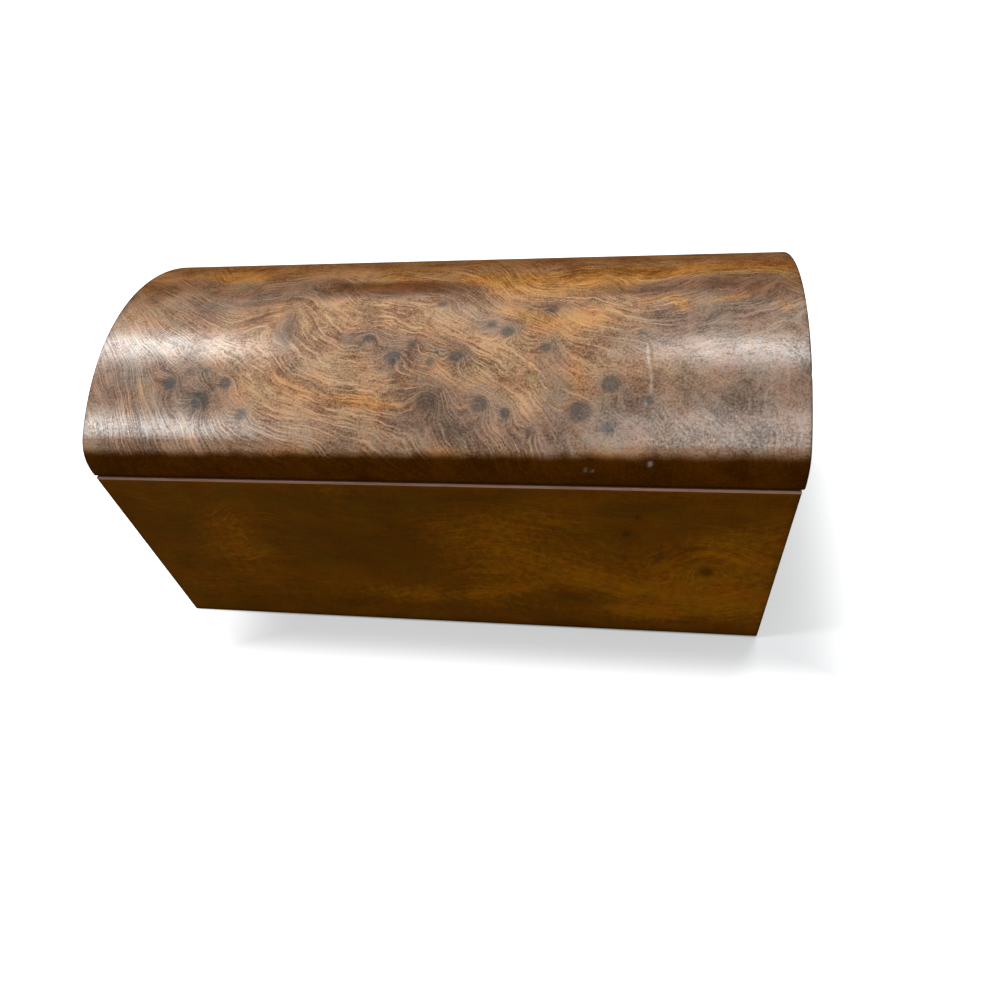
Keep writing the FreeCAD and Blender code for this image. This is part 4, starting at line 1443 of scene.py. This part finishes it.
@dataclass
class DomeVeneer:
    """The burl sheet bent over the lid.

    In its methods x is how far along the lid a place lies from its middle, and along is how far
    round it from its crown line, in mm.
    """

    section: LidSection
    studio: Studio
    step: float = 0.62
    inner_step: float = 3.0
    crack_step: float = 0.16
    edge_stations: tuple[float, ...] = (0.06, 0.16, 0.3, 0.45, 0.8)
    end_easing: float = 0.4
    foot_easing: float = 0.45
    worn_corner: float = 0.6
    worn_reach: float = 5.0
    most_worn: float = 0.8
    # How high the painted shade band along the lid's foot reaches, and over how far it fades
    shade_band_height: float = 8.0
    shade_band_fade: float = 2.2
    # How dark the painted shade towards the lid's back is, where it starts and over how far it fades
    # in
    back_shade: float = 0.75
    back_shade_from: float = 7.0
    back_shade_fade: float = 22.0
    crack_width: float = 0.42
    crack_depth: float = 0.06
    nick_width: float = 0.8
    nick_depth: float = 0.5
    back_eyes: int = 16
    back_swirls: int = 7
    back_from: float = 40.0
    back_clear: float = 0.8
    seed: int = 31

    def locate(self, x: float, y: float) -> Pair:
        """Where on the sheet a place in the photo lies."""
        return self.section.locate(self.studio, x, y)

    def figure(self) -> FigureMap:
        """The grain and tones seen in the photo, carried on over the back."""
        lid = self.section
        found = FigureMap(-lid.half_length, lid.half_length, -lid.run, lid.run, step=self.step)
        scatter_figure(found, self.seed, self.back_eyes, self.back_swirls,
                       keep=lambda u, v: v > self.back_from)
        found.trace(LID_SWEEPS, LID_PATCHES, LID_EYES, self.locate)
        for path in LID_BACK_PATHS:
            found.add_path(path, self.back_clear)
        found.solve()
        return found

    def crack(self) -> np.ndarray:
        """The hairline crack's course, as places on the lid."""
        return np.array([self.locate(*place) for place in LID_CRACK])

    def crack_cover(self, x: np.ndarray, along: np.ndarray) -> np.ndarray:
        """How near each place is to the crack, from 0 to 1."""
        found = np.zeros_like(x)
        course = self.crack()
        for a, b in zip(course[:-1], course[1:]):
            way = b - a
            share = np.clip(((x - a[0]) * way[0] + (along - a[1]) * way[1]) / (way @ way), 0, 1)
            gap = np.hypot(x - a[0] - share * way[0], along - a[1] - share * way[1])
            found = np.maximum(found, np.exp(-((gap / self.crack_width) ** 2)))
        return found

    def nick_cover(self, x: np.ndarray, along: np.ndarray) -> np.ndarray:
        """How near each place is to the nick in the right edge, from 0 to 1."""
        _, v = self.locate(*EDGE_NICK)
        gap = (x - self.section.half_length) ** 2 + (along - v) ** 2
        return np.exp(-gap / self.nick_width**2)

    def chip_gap(self, chip: Chip, x: np.ndarray, along: np.ndarray) -> np.ndarray:
        """How far each place is from a chip, squared, where 1 is its rim."""
        u, v = self.locate(chip.x, chip.y)
        return ((x - u) ** 2 + (along - v) ** 2) / chip.radius**2

    def shade_and_wear(self, x: np.ndarray, along: np.ndarray, z: np.ndarray,
             crisp: np.ndarray) -> np.ndarray:
        """The painted shade band along the foot, the chips, and painted shade along the arrises.

        Returns:
            Shade band, chips, edge shade and crisp at each place.
        """
        lid = self.section
        over = z - lid.foot
        # Painted shade: a dark band along the lid's foot, where its front turns away from the light
        ripple = 0.12 * np.sin(x * 0.31) + 0.10 * np.sin(x * 0.83 + 1.3)
        ripple = ripple + 0.5 * x / lid.half_length
        shade_band = 1 - np.clip((over - self.shade_band_height - ripple + 1.0) / self.shade_band_fade, 0, 1)
        chips = (0.45 + 0.15 * np.sin(along * 2.3)) * self.crack_cover(x, along)
        for chip in LID_CHIPS:
            cover = chip.strength * np.exp(-1.2 * self.chip_gap(chip, x, along))
            chips = np.maximum(chips, cover)
        # Painted shade along the end arrises and along the line at the foot, and darker in the nick
        ends = lid.half_length - np.abs(x)
        edge_shade = np.maximum(np.exp(-ends / 0.5), 0.95 * np.exp(-((over / 0.8) ** 2)))
        edge_shade = np.maximum(edge_shade, self.nick_cover(x, along))
        return np.stack([shade_band * shade_band * (3 - 2 * shade_band), chips, edge_shade, crisp], axis=-1)

    def depth(self, x: np.ndarray, along: np.ndarray) -> np.ndarray:
        """How far the worn face lies below the lid's outline at each place."""
        lid = self.section
        foot = along + lid.run
        corner = self.end_easing + self.worn_corner * np.exp(-((foot / self.worn_reach) ** 2))
        eased = np.maximum(rounding(lid.half_length - np.abs(x), corner),
                           rounding(foot, self.foot_easing))
        depth = np.clip(eased, 0, lid.veneer * self.most_worn)
        for chip in LID_CHIPS:
            depth = depth + chip.depth * np.exp(-self.chip_gap(chip, x, along))
        depth = depth + self.crack_depth * self.crack_cover(x, along)
        return depth + self.nick_depth * self.nick_cover(x, along)

    def stations(self) -> tuple[np.ndarray, np.ndarray, np.ndarray]:
        """The mesh's stations: closer along the crack and near the edges.

        Returns:
            Places along the lid, round its outer face, and back round its inner face.
        """
        lid = self.section
        cracked = self.crack()[:, 0]
        finer = np.arange(cracked.min() - 0.6, cracked.max() + 0.6, self.crack_step)
        xs = span(-lid.half_length, lid.half_length, self.step, self.edge_stations)
        xs = np.unique(np.round(np.concatenate([xs, finer]), 5))
        outer = span(-lid.run, lid.back_end(0.0), self.step, self.edge_stations[:-1])
        inner = span(-lid.run, lid.back_end(lid.veneer), self.inner_step)[::-1]
        return xs, outer, inner

    def faces(self, rings: int, count: int) -> list[list[int]]:
        """The faces of a tube of rings, of so many points each, closed at both ends."""
        a = np.arange(rings - 1)[:, None] * count
        b = np.arange(count)[None, :]
        c = (b + 1) % count
        walls = np.stack([a + b, a + count + b, a + count + c, a + c], axis=-1).reshape(-1, 4)
        last = (rings - 1) * count
        return walls.tolist() + [list(range(count)), list(range(last, last + count))[::-1]]

    def build(self) -> bpy.types.Object:
        """Makes the sheet as one closed shell.

        Returns:
            The object.
        """
        lid = self.section
        xs, outer, inner = self.stations()
        rounds = np.concatenate([outer, inner])
        x, along = np.meshgrid(xs, rounds, indexing="ij")
        on_face = (np.arange(len(rounds)) < len(outer))[None, :]
        depth = np.minimum(np.where(on_face, self.depth(x, along), lid.veneer), lid.veneer)
        y, z = lid.point(along, depth)
        vertices = np.stack([x, y, z], axis=-1).reshape(-1, 3)
        obj = new_object("dome_burl", vertices, self.faces(len(xs), len(rounds)),
                         LID_BURL.material())
        figure = self.figure()
        u, v = x.ravel(), along.ravel()
        tones = figure.tones(u, v)
        # Painted shade: the lid darker towards its back, where less light falls
        deep_and_shade = self.back_shade * np.clip((v - self.back_shade_from) / self.back_shade_fade, 0, 1)
        tones[:, Tone.DARK.value] = np.maximum(tones[:, Tone.DARK.value], deep_and_shade)
        shade_and_wear = self.shade_and_wear(u, v, z.ravel(), figure.read(figure.crisp, u, v))
        figure.paint(obj, (u, v), tones, shade_and_wear)
        return obj

    def dress(self) -> None:
        """Builds the sheet and puts it on the lid in place of its CAD node."""
        place_piece(self.build(), "lid", "lid_veneer", "lid_dome_veneer")


@dataclass
class FlatVeneer:
    """A flat sheet of burl: its outer face is a fine grid that carries the figure."""

    name: str
    body: str
    slot: str
    replaces: str
    finish: BurlFinish
    start: float
    end: float
    top: Callable[[np.ndarray, float], np.ndarray]
    bottom: Callable[[np.ndarray, float], np.ndarray]
    place: Callable[[np.ndarray, np.ndarray, np.ndarray], np.ndarray]
    seed: int
    step: float = 1.0
    thickness: float = 0.9
    corner: float = 0.0
    height: float = 70.0
    eyes: int = 8
    swirls: int = 9
    lean: Pair = (1.0, -0.15)
    turned: bool = False
    # How dark the painted shade along the sheet's foot is, and how far up it reaches
    foot_shade: float = 0.0
    foot_shade_reach: float = 1.6
    # How far in from the side edges the painted shade reaches
    edge_shade_reach: float = 0.45
    draw_figure: Optional[Callable[[FigureMap], None]] = None

    def side(self, us: np.ndarray, depth: float) -> tuple[np.ndarray, np.ndarray, np.ndarray]:
        """One side of the sheet, as a grid on stations across it, at a depth below its face.

        Returns:
            The places across and up the sheet, and below its face.
        """
        shares = np.linspace(0, 1, max(2, int(round(self.height / self.step))) + 1)
        low, high = self.bottom(us, depth), self.top(us, depth)
        w = low[:, None] + (high - low)[:, None] * shares[None, :]
        return np.repeat(us[:, None], len(shares), axis=1), w, np.full_like(w, depth)

    def figure(self, low: float, high: float) -> FigureMap:
        """The sheet's figure from its foot to its top, by chance and as the photo shows it."""
        found = FigureMap(self.start, self.end, low, high, step=self.step, lean=self.lean)
        scatter_figure(found, self.seed, self.eyes, self.swirls)
        if self.draw_figure:
            self.draw_figure(found)
        found.solve()
        return found

    def build(self, base: float) -> bpy.types.Object:
        """Makes the sheet as one closed shell.

        Args:
            base: the height that the figure is measured from.

        Returns:
            The object.
        """
        fine = (0.02, 0.1, 0.22, self.corner, 0.8) if self.corner else (0.2, 0.6)
        us = span(self.start, self.end, self.step, fine)
        edge = np.minimum(us - self.start, self.end - us)
        outer, inner = self.side(us, 0.0), self.side(us, self.thickness)
        outer[2][:] += rounding(edge, self.corner)[:, None]
        rows = outer[0].shape[1]
        vertices = np.concatenate([self.place(*side).reshape(-1, 3) for side in (outer, inner)])
        faces = sheet_faces(len(us), rows)
        if self.turned:
            faces = [face[::-1] for face in faces]
        obj = new_object(self.name, vertices, faces, self.finish.material())
        u, v = (np.concatenate([outer[n].ravel(), inner[n].ravel()]) for n in (0, 1))
        v = v - base
        figure = self.figure(float(v.min()), float(v.max()))
        shade_and_wear = np.zeros((len(u), 4))
        # Painted shade, darker towards the foot
        shade_and_wear[:, 0] = self.foot_shade * np.exp(-np.clip(v, 0, None) / self.foot_shade_reach)
        # Painted shade along the side edges
        shade_and_wear[:, 2] = np.exp(-np.tile(np.repeat(edge, rows), 2) / self.edge_shade_reach)
        shade_and_wear[:, 3] = figure.read(figure.crisp, u, v)
        figure.paint(obj, (u, v), figure.tones(u, v), shade_and_wear)
        return obj

    def dress(self, base: float) -> None:
        """Builds the sheet and puts it in the place of its CAD node."""
        place_piece(self.build(base), self.body, self.slot, self.replaces)


@dataclass
class Lid:
    """The domed lid: veneers over rails, staves and end boards."""

    section: LidSection
    studio: Studio
    stave_count: int = 9
    stave_tones: Pair = (0.82, 1.12)
    log_step: float = 0.37
    outline_steps: int = 900
    tip: float = 0.02
    seed: int = 2

    def end_sheet(self, name: str, hand: int, seed: int) -> FlatVeneer:
        """One end veneer, inside the edge of the dome's sheet.

        Args:
            name: left_end or right_end.
            hand: -1 for the left, 1 for the right.
            seed: the seed of its figure.

        Returns:
            The sheet.
        """
        lid = self.section
        half = lid.half_depth - lid.veneer
        arch = lid.run - lid.rim
        ys, zs = lid.point(np.linspace(-arch, arch, self.outline_steps), lid.veneer)
        back = float(lid.point(lid.back_end(lid.veneer), lid.veneer)[0]) - self.tip

        def top(y: np.ndarray, depth: float) -> np.ndarray:
            """The arched edge."""
            return np.interp(y, ys, zs)

        def bottom(y: np.ndarray, depth: float) -> np.ndarray:
            """The foot, with the stop bevel at the back."""
            return np.maximum(lid.foot, lid.bevel(y))

        def place(u: np.ndarray, w: np.ndarray, d: np.ndarray) -> np.ndarray:
            """A point on the sheet, d below its face."""
            return np.stack([hand * (lid.half_length - d), u, w], -1)

        return FlatVeneer(name, "lid", "lid_veneer", f"lid_{name}_veneer", LID_BURL,
                          lid.middle - half, back, top, bottom, place, seed,
                          step=0.7, height=22.0, eyes=6, swirls=6, turned=hand < 0)

    def dress(self) -> None:
        """Builds the sheets and dresses the boards."""
        DomeVeneer(self.section, self.studio).dress()
        for name, hand, seed in (("left_end", -1, 41), ("right_end", 1, 47)):
            self.end_sheet(name, hand, seed).dress(self.section.foot)
        boards = ["lid_front_rail", "lid_back_rail"]
        boards += [f"lid_stave_{n + 1}" for n in range(self.stave_count)]
        draw = np.random.default_rng(self.seed)
        for n, board in enumerate(boards):
            dress([board], replace(LID_WOOD, name=f"{board}_wood",
                                   tone=draw.uniform(*self.stave_tones),
                                   part_of_log=self.log_step * n))
        dress(["lid_left_end_board", "lid_right_end_board"], LID_ENDS)


# The base


@dataclass(frozen=True)
class ClothPad:
    """A laid cloth in place of its CAD solid, with a soft edge: its sizes are in millimetres."""

    name: str
    slot: str
    finish: FeltFinish
    node: str
    rests_on: str = "bottom_board"
    dips: int = 0
    deepest: float = 0.35
    step: float = 1.5
    edge_stations: Pair = (0.1, 0.3)
    soft_edge: float = 0.3
    edge_reach: float = 0.25
    seed: int = 3

    def hollows(self, x: np.ndarray, y: np.ndarray, low: Vector, high: Vector) -> np.ndarray:
        """The slight hollows in its upper face: the rise at each place, never more than 0."""
        draw = np.random.default_rng(self.seed)
        found = np.zeros_like(x)
        for _ in range(self.dips):
            u, v = draw.uniform(low.x, high.x), draw.uniform(low.y, high.y)
            size, rise = draw.uniform(6, 22), draw.uniform(-0.12, 0.02)
            found += rise * np.exp(-((x - u) ** 2 + (y - v) ** 2) / (2 * size**2))
        return np.clip(found, -self.deepest, 0)

    def dress(self) -> None:
        """Builds the cloth as one closed shell and lays it in the base."""
        low, high = (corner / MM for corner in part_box(self.node))
        x, y = np.meshgrid(span(low.x, high.x, self.step, self.edge_stations),
                           span(low.y, high.y, self.step, self.edge_stations), indexing="ij")
        edge = np.minimum(np.minimum(x - low.x, high.x - x), np.minimum(y - low.y, high.y - y))
        fall = self.soft_edge * np.exp(-edge / self.edge_reach)
        top = np.full_like(x, high.z)
        if self.dips:
            top = top - fall + self.hollows(x, y, low, high)
        vertices = [np.stack([x, y, z], -1).reshape(-1, 3) for z in (top, low.z + fall)]
        obj = new_object(self.name, np.concatenate(vertices), sheet_faces(*x.shape),
                         self.finish.material())
        place_piece(obj, "base", self.slot, self.node)


@dataclass
class Base:
    """The base: veneers over boards, the rim's edging, the lining and the baize."""

    section: LidSection
    studio: Studio
    foot: float = 1.0
    edging: float = 0.6
    veneer: float = 0.9
    corner: float = 0.45
    # How dark the painted shade along the foot of the base's sheets is
    foot_shade: float = 0.6

    def __post_init__(self) -> None:
        """Takes the base's outline from the sizes that the lid shares with it."""
        self.half_length = self.section.base_half_length
        self.half_depth = self.section.base_half_depth
        self.wall_top = self.section.base_height - self.edging

    def back_top(self, y: np.ndarray) -> np.ndarray:
        """The top of the wood at a depth, below the rim's edging and the stop bevel."""
        lid = self.section
        return np.minimum(self.wall_top, 2 * lid.axis_z - lid.bevel(y))

    def bottom(self, u: np.ndarray, depth: float) -> np.ndarray:
        """The foot of a sheet."""
        return np.full_like(u, self.foot)

    def long_sheet(self, name: str, hand: int, seed: int) -> FlatVeneer:
        """One long veneer.

        Args:
            name: front or back.
            hand: -1 for the front, 1 for the back.
            seed: the seed of its figure.

        Returns:
            The sheet.
        """
        def top(u: np.ndarray, depth: float) -> np.ndarray:
            """The upper edge."""
            level = self.back_top(np.array(hand * (self.half_depth - depth)))
            return np.full_like(u, float(level))

        def place(u: np.ndarray, w: np.ndarray, d: np.ndarray) -> np.ndarray:
            """A point on the sheet, d below its face."""
            return np.stack([u, hand * (self.half_depth - d), w], -1)

        front = hand < 0
        return FlatVeneer(name, "base", "base_veneer", f"{name}_veneer", SHADED_BASE_BURL,
                          -self.half_length, self.half_length, top, self.bottom, place, seed,
                          corner=self.corner, turned=not front, eyes=2 if front else 9,
                          swirls=4 if front else 14, foot_shade=self.foot_shade,
                          draw_figure=self.front_figure if front else None)

    def front_figure(self, figure: FigureMap) -> None:
        """Adds the figure that the photo shows on the front."""
        figure.trace(FRONT_SWEEPS, FRONT_PATCHES, FRONT_EYES, self.locate)

    def locate(self, x: float, y: float) -> Pair:
        """Where the line of sight through a place in the photo meets the front.

        Args:
            x: pixels from the left.
            y: pixels from the top.

        Returns:
            Millimetres to the right of its middle, and up from its foot.
        """
        start, way = self.studio.ray(x, y)
        far = (-self.half_depth - start[1]) / way[1]
        return float(start[0] + far * way[0]), float(start[2] + far * way[2] - self.foot)

    def end_sheet(self, name: str, hand: int, seed: int) -> FlatVeneer:
        """One end veneer, between the long ones.

        Args:
            name: left or right.
            hand: -1 for the left, 1 for the right.
            seed: the seed of its figure.

        Returns:
            The sheet.
        """
        half = self.half_depth - self.veneer

        def top(u: np.ndarray, depth: float) -> np.ndarray:
            """The upper edge."""
            return self.back_top(u)

        def place(u: np.ndarray, w: np.ndarray, d: np.ndarray) -> np.ndarray:
            """A point on the sheet, d below its face."""
            return np.stack([hand * (self.half_length - d), u, w], -1)

        return FlatVeneer(name, "base", "base_veneer", f"{name}_end_veneer", SHADED_BASE_BURL,
                          -half, half, top, self.bottom, place, seed, turned=hand < 0,
                          eyes=5, swirls=8, foot_shade=self.foot_shade)

    def dress(self) -> None:
        """Builds the sheets and cloths and dresses the boards."""
        for name, hand, seed in (("front", -1, 5), ("back", 1, 12)):
            self.long_sheet(name, hand, seed).dress(self.foot)
        for name, hand, seed in (("left", -1, 19), ("right", 1, 23)):
            self.end_sheet(name, hand, seed).dress(self.foot)
        dress(["front_wall", "back_wall", "bottom_board"], OAK)
        dress(["left_wall", "right_wall"], OAK_ENDS)
        dress(["front_edging", "back_edging"], EDGING)
        dress(["left_edging", "right_edging"], EDGING_ENDS)
        ClothPad("felt_pad", "lining", FELT, "floor_lining", dips=60).dress()
        ClothPad("foot_cloth", "baize", BAIZE, "baize").dress()


# Hinges and screws


@dataclass
class Screws:
    """Slotted countersunk brass screws, placed and turned by a node tree."""

    head_radius: float = 1.7
    shank_radius: float = 0.8
    length: float = 7.0
    slot_width: float = 0.45
    slot_depth: float = 0.45
    thread_pitch: float = 0.85
    thread_depth: float = 0.22
    arris: float = 0.06
    plain_shank: float = 0.8
    point_length: float = 1.6
    point_radius: float = 0.12
    sides: int = 24
    places: tuple[float, ...] = (-68.0, -52.0, 52.0, 68.0)
    below_joint: float = 0.2
    back: float = 41.65
    seed: int = 7

    def profile(self) -> list[Pair]:
        """The screw's outline, from its head to its point.

        Returns:
            Radius and height of each ring.
        """
        neck = -(self.head_radius - self.shank_radius) - self.arris
        root = self.shank_radius - self.thread_depth
        found = [(self.head_radius - self.arris, 0.0), (self.head_radius, -self.arris),
                 (self.shank_radius, neck)]
        z = neck - self.plain_shank
        while z > self.point_length - self.length:
            found += [(self.shank_radius, z), (root, z - self.thread_pitch * 0.3),
                      (root, z - self.thread_pitch * 0.7)]
            z -= self.thread_pitch
        return found + [(self.shank_radius * 0.8, z), (self.point_radius, -self.length)]

    def one_screw(self, material: bpy.types.Material) -> bpy.types.Object:
        """One screw that points down from the origin, its head level with it."""
        mesh = bmesh.new()
        rings = []
        for radius, level in self.profile():
            ring = []
            for n in range(self.sides):
                turn = 2 * math.pi * n / self.sides
                ring.append(mesh.verts.new((radius * math.cos(turn), radius * math.sin(turn), level)))
            rings.append(ring)
        for upper, lower in zip(rings[:-1], rings[1:]):
            for n in range(self.sides):
                m = (n + 1) % self.sides
                mesh.faces.new((upper[n], lower[n], lower[m], upper[m]))
        mesh.faces.new(rings[-1][::-1])
        self.slotted_face(mesh, rings[0])
        bmesh.ops.recalc_face_normals(mesh, faces=mesh.faces)
        data = bpy.data.meshes.new("one_screw")
        mesh.to_mesh(data)
        mesh.free()
        for vertex in data.vertices:
            vertex.co *= MM
        data.materials.append(material)
        return bpy.data.objects.new("one_screw", data)

    def slotted_face(self, mesh: bmesh.types.BMesh, rim: list) -> None:
        """Closes the head inside its rim with a face that has a slot across it."""
        half, radius = self.slot_width / 2, self.head_radius - self.arris
        ends = math.sqrt(radius**2 - half**2) * 0.97
        corner = {(sx, sy): (mesh.verts.new((sx * ends, sy * half, 0.0)),
                             mesh.verts.new((sx * ends, sy * half, -self.slot_depth)))
                  for sx in (-1, 1) for sy in (-1, 1)}
        top = {key: pair[0] for key, pair in corner.items()}
        low = {key: pair[1] for key, pair in corner.items()}
        quarter = self.sides // 4
        right, left = rim[0], rim[2 * quarter]
        upper = rim[1:2 * quarter]
        lower = rim[2 * quarter + 1:]
        mesh.faces.new([top[(1, 1)]] + upper + [top[(-1, 1)]])
        mesh.faces.new([top[(-1, -1)]] + lower + [top[(1, -1)]])
        mesh.faces.new([right, upper[0], top[(1, 1)], top[(1, -1)], lower[-1]])
        mesh.faces.new([left, lower[0], top[(-1, -1)], top[(-1, 1)], upper[-1]])
        mesh.faces.new([low[(-1, -1)], low[(1, -1)], low[(1, 1)], low[(-1, 1)]])
        loop = [(-1, -1), (1, -1), (1, 1), (-1, 1)]
        for a, b in zip(loop, loop[1:] + loop[:1]):
            mesh.faces.new([top[a], top[b], low[b], low[a]])

    def tree(self) -> bpy.types.NodeTree:
        """The node tree that sets a screw at each point, its slot turned by chance."""
        tree = bpy.data.node_groups.new("set_screws", "GeometryNodeTree")
        inputs = {"Geometry": "Geometry", "Screw": "Object", "Over": "Float", "Seed": "Int",
                  "Finish": "Material"}
        for label, kind in inputs.items():
            tree.interface.new_socket(label, in_out="INPUT", socket_type=f"NodeSocket{kind}")
        tree.interface.new_socket("Geometry", in_out="OUTPUT", socket_type="NodeSocketGeometry")
        nodes = Nodes(tree)
        given = nodes.add("NodeGroupInput").outputs
        points = nodes.put(nodes.add("GeometryNodeMeshToPoints"), Mesh=given["Geometry"])
        info = nodes.put(nodes.add("GeometryNodeObjectInfo"), Object=given["Screw"])
        chance = nodes.put(nodes.add("FunctionNodeRandomValue"), Seed=given["Seed"])
        nodes.feed(chance.inputs[2], 0.0)
        nodes.feed(chance.inputs[3], math.pi)
        turn = nodes.add("ShaderNodeCombineXYZ")
        nodes.feed(turn.inputs[0], given["Over"])
        nodes.feed(turn.inputs[2], chance.outputs[1])
        placed = nodes.put(nodes.add("GeometryNodeInstanceOnPoints"), Points=points.outputs[0],
                           Instance=info.outputs["Geometry"], Rotation=turn.outputs[0])
        real = nodes.put(nodes.add("GeometryNodeRealizeInstances"), Geometry=placed.outputs[0])
        finish = nodes.put(nodes.add("GeometryNodeSetMaterial"), Geometry=real.outputs[0],
                           Material=given["Finish"])
        nodes.put(nodes.add("NodeGroupOutput"), Geometry=finish.outputs[0])
        return tree

    def set_in(self, seat: bpy.types.Object, tree: bpy.types.NodeTree,
               values: dict[str, object]) -> bpy.types.Mesh:
        """Runs the node tree on the points where the screws go.

        Args:
            seat: an object whose points those are, which is removed.
            tree: the node tree.
            values: the tree's inputs, by name.

        Returns:
            One mesh with all the screws.
        """
        modifier = seat.modifiers.new("screws", "NODES")
        modifier.node_group = tree
        for item in tree.interface.items_tree:
            if item.in_out == "INPUT" and item.name in values:
                modifier[item.identifier] = values[item.name]
        bpy.context.view_layer.update()
        graph = bpy.context.evaluated_depsgraph_get()
        mesh = bpy.data.meshes.new_from_object(seat.evaluated_get(graph))
        bpy.data.objects.remove(seat)
        return mesh

    def dress(self, section: LidSection) -> None:
        """Sets four screws down into the base and four up into the lid."""
        material = SCREW_BRASS.material()
        screw, tree = self.one_screw(material), self.tree()
        sides = (("base", section.axis_z - self.below_joint, 0.0),
                 ("lid", section.axis_z + self.below_joint, math.pi))
        for body, level, over in sides:
            points = [(x, self.back, level) for x in self.places]
            seat = new_object(f"{body}_screw_seats", points, [], material)
            mesh = self.set_in(seat, tree, {"Screw": screw, "Over": over, "Seed": self.seed,
                                            "Finish": material})
            mesh.name = f"{body}_screws"
            made = bpy.data.objects.new(f"{body}_screws", mesh)
            bpy.context.scene.collection.objects.link(made)
            place_piece(made, body, "screws", f"{body}_hinge_screws")
        bpy.data.objects.remove(screw)


@dataclass
class Hinges:
    """Two brass butt hinges with steel pins."""

    sides: tuple[str, ...] = ("left", "right")

    def dress(self) -> None:
        """Dresses the leaves and pins."""
        dress([f"{side}_hinge_{leaf}" for side in self.sides
               for leaf in ("base_leaf", "lid_leaf")], BRASS)
        dress([f"{side}_hinge_pin" for side in self.sides], STEEL)


def rows(corners: tuple[Vector, Vector]) -> list[list[float]]:
    """Two corners as plain numbers."""
    return [[float(n) for n in corner] for corner in corners]


def main() -> None:
    """Builds and dresses every piece of the box."""
    cad_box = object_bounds()
    studio = Studio()
    studio.build()
    section = LidSection()
    Lid(section, studio).dress()
    Base(section, studio).dress()
    Hinges().dress()
    Screws().dress(section)
    {"cad": rows(cad_box), "visual": rows(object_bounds())}


if __name__ == "__main__":
    main()
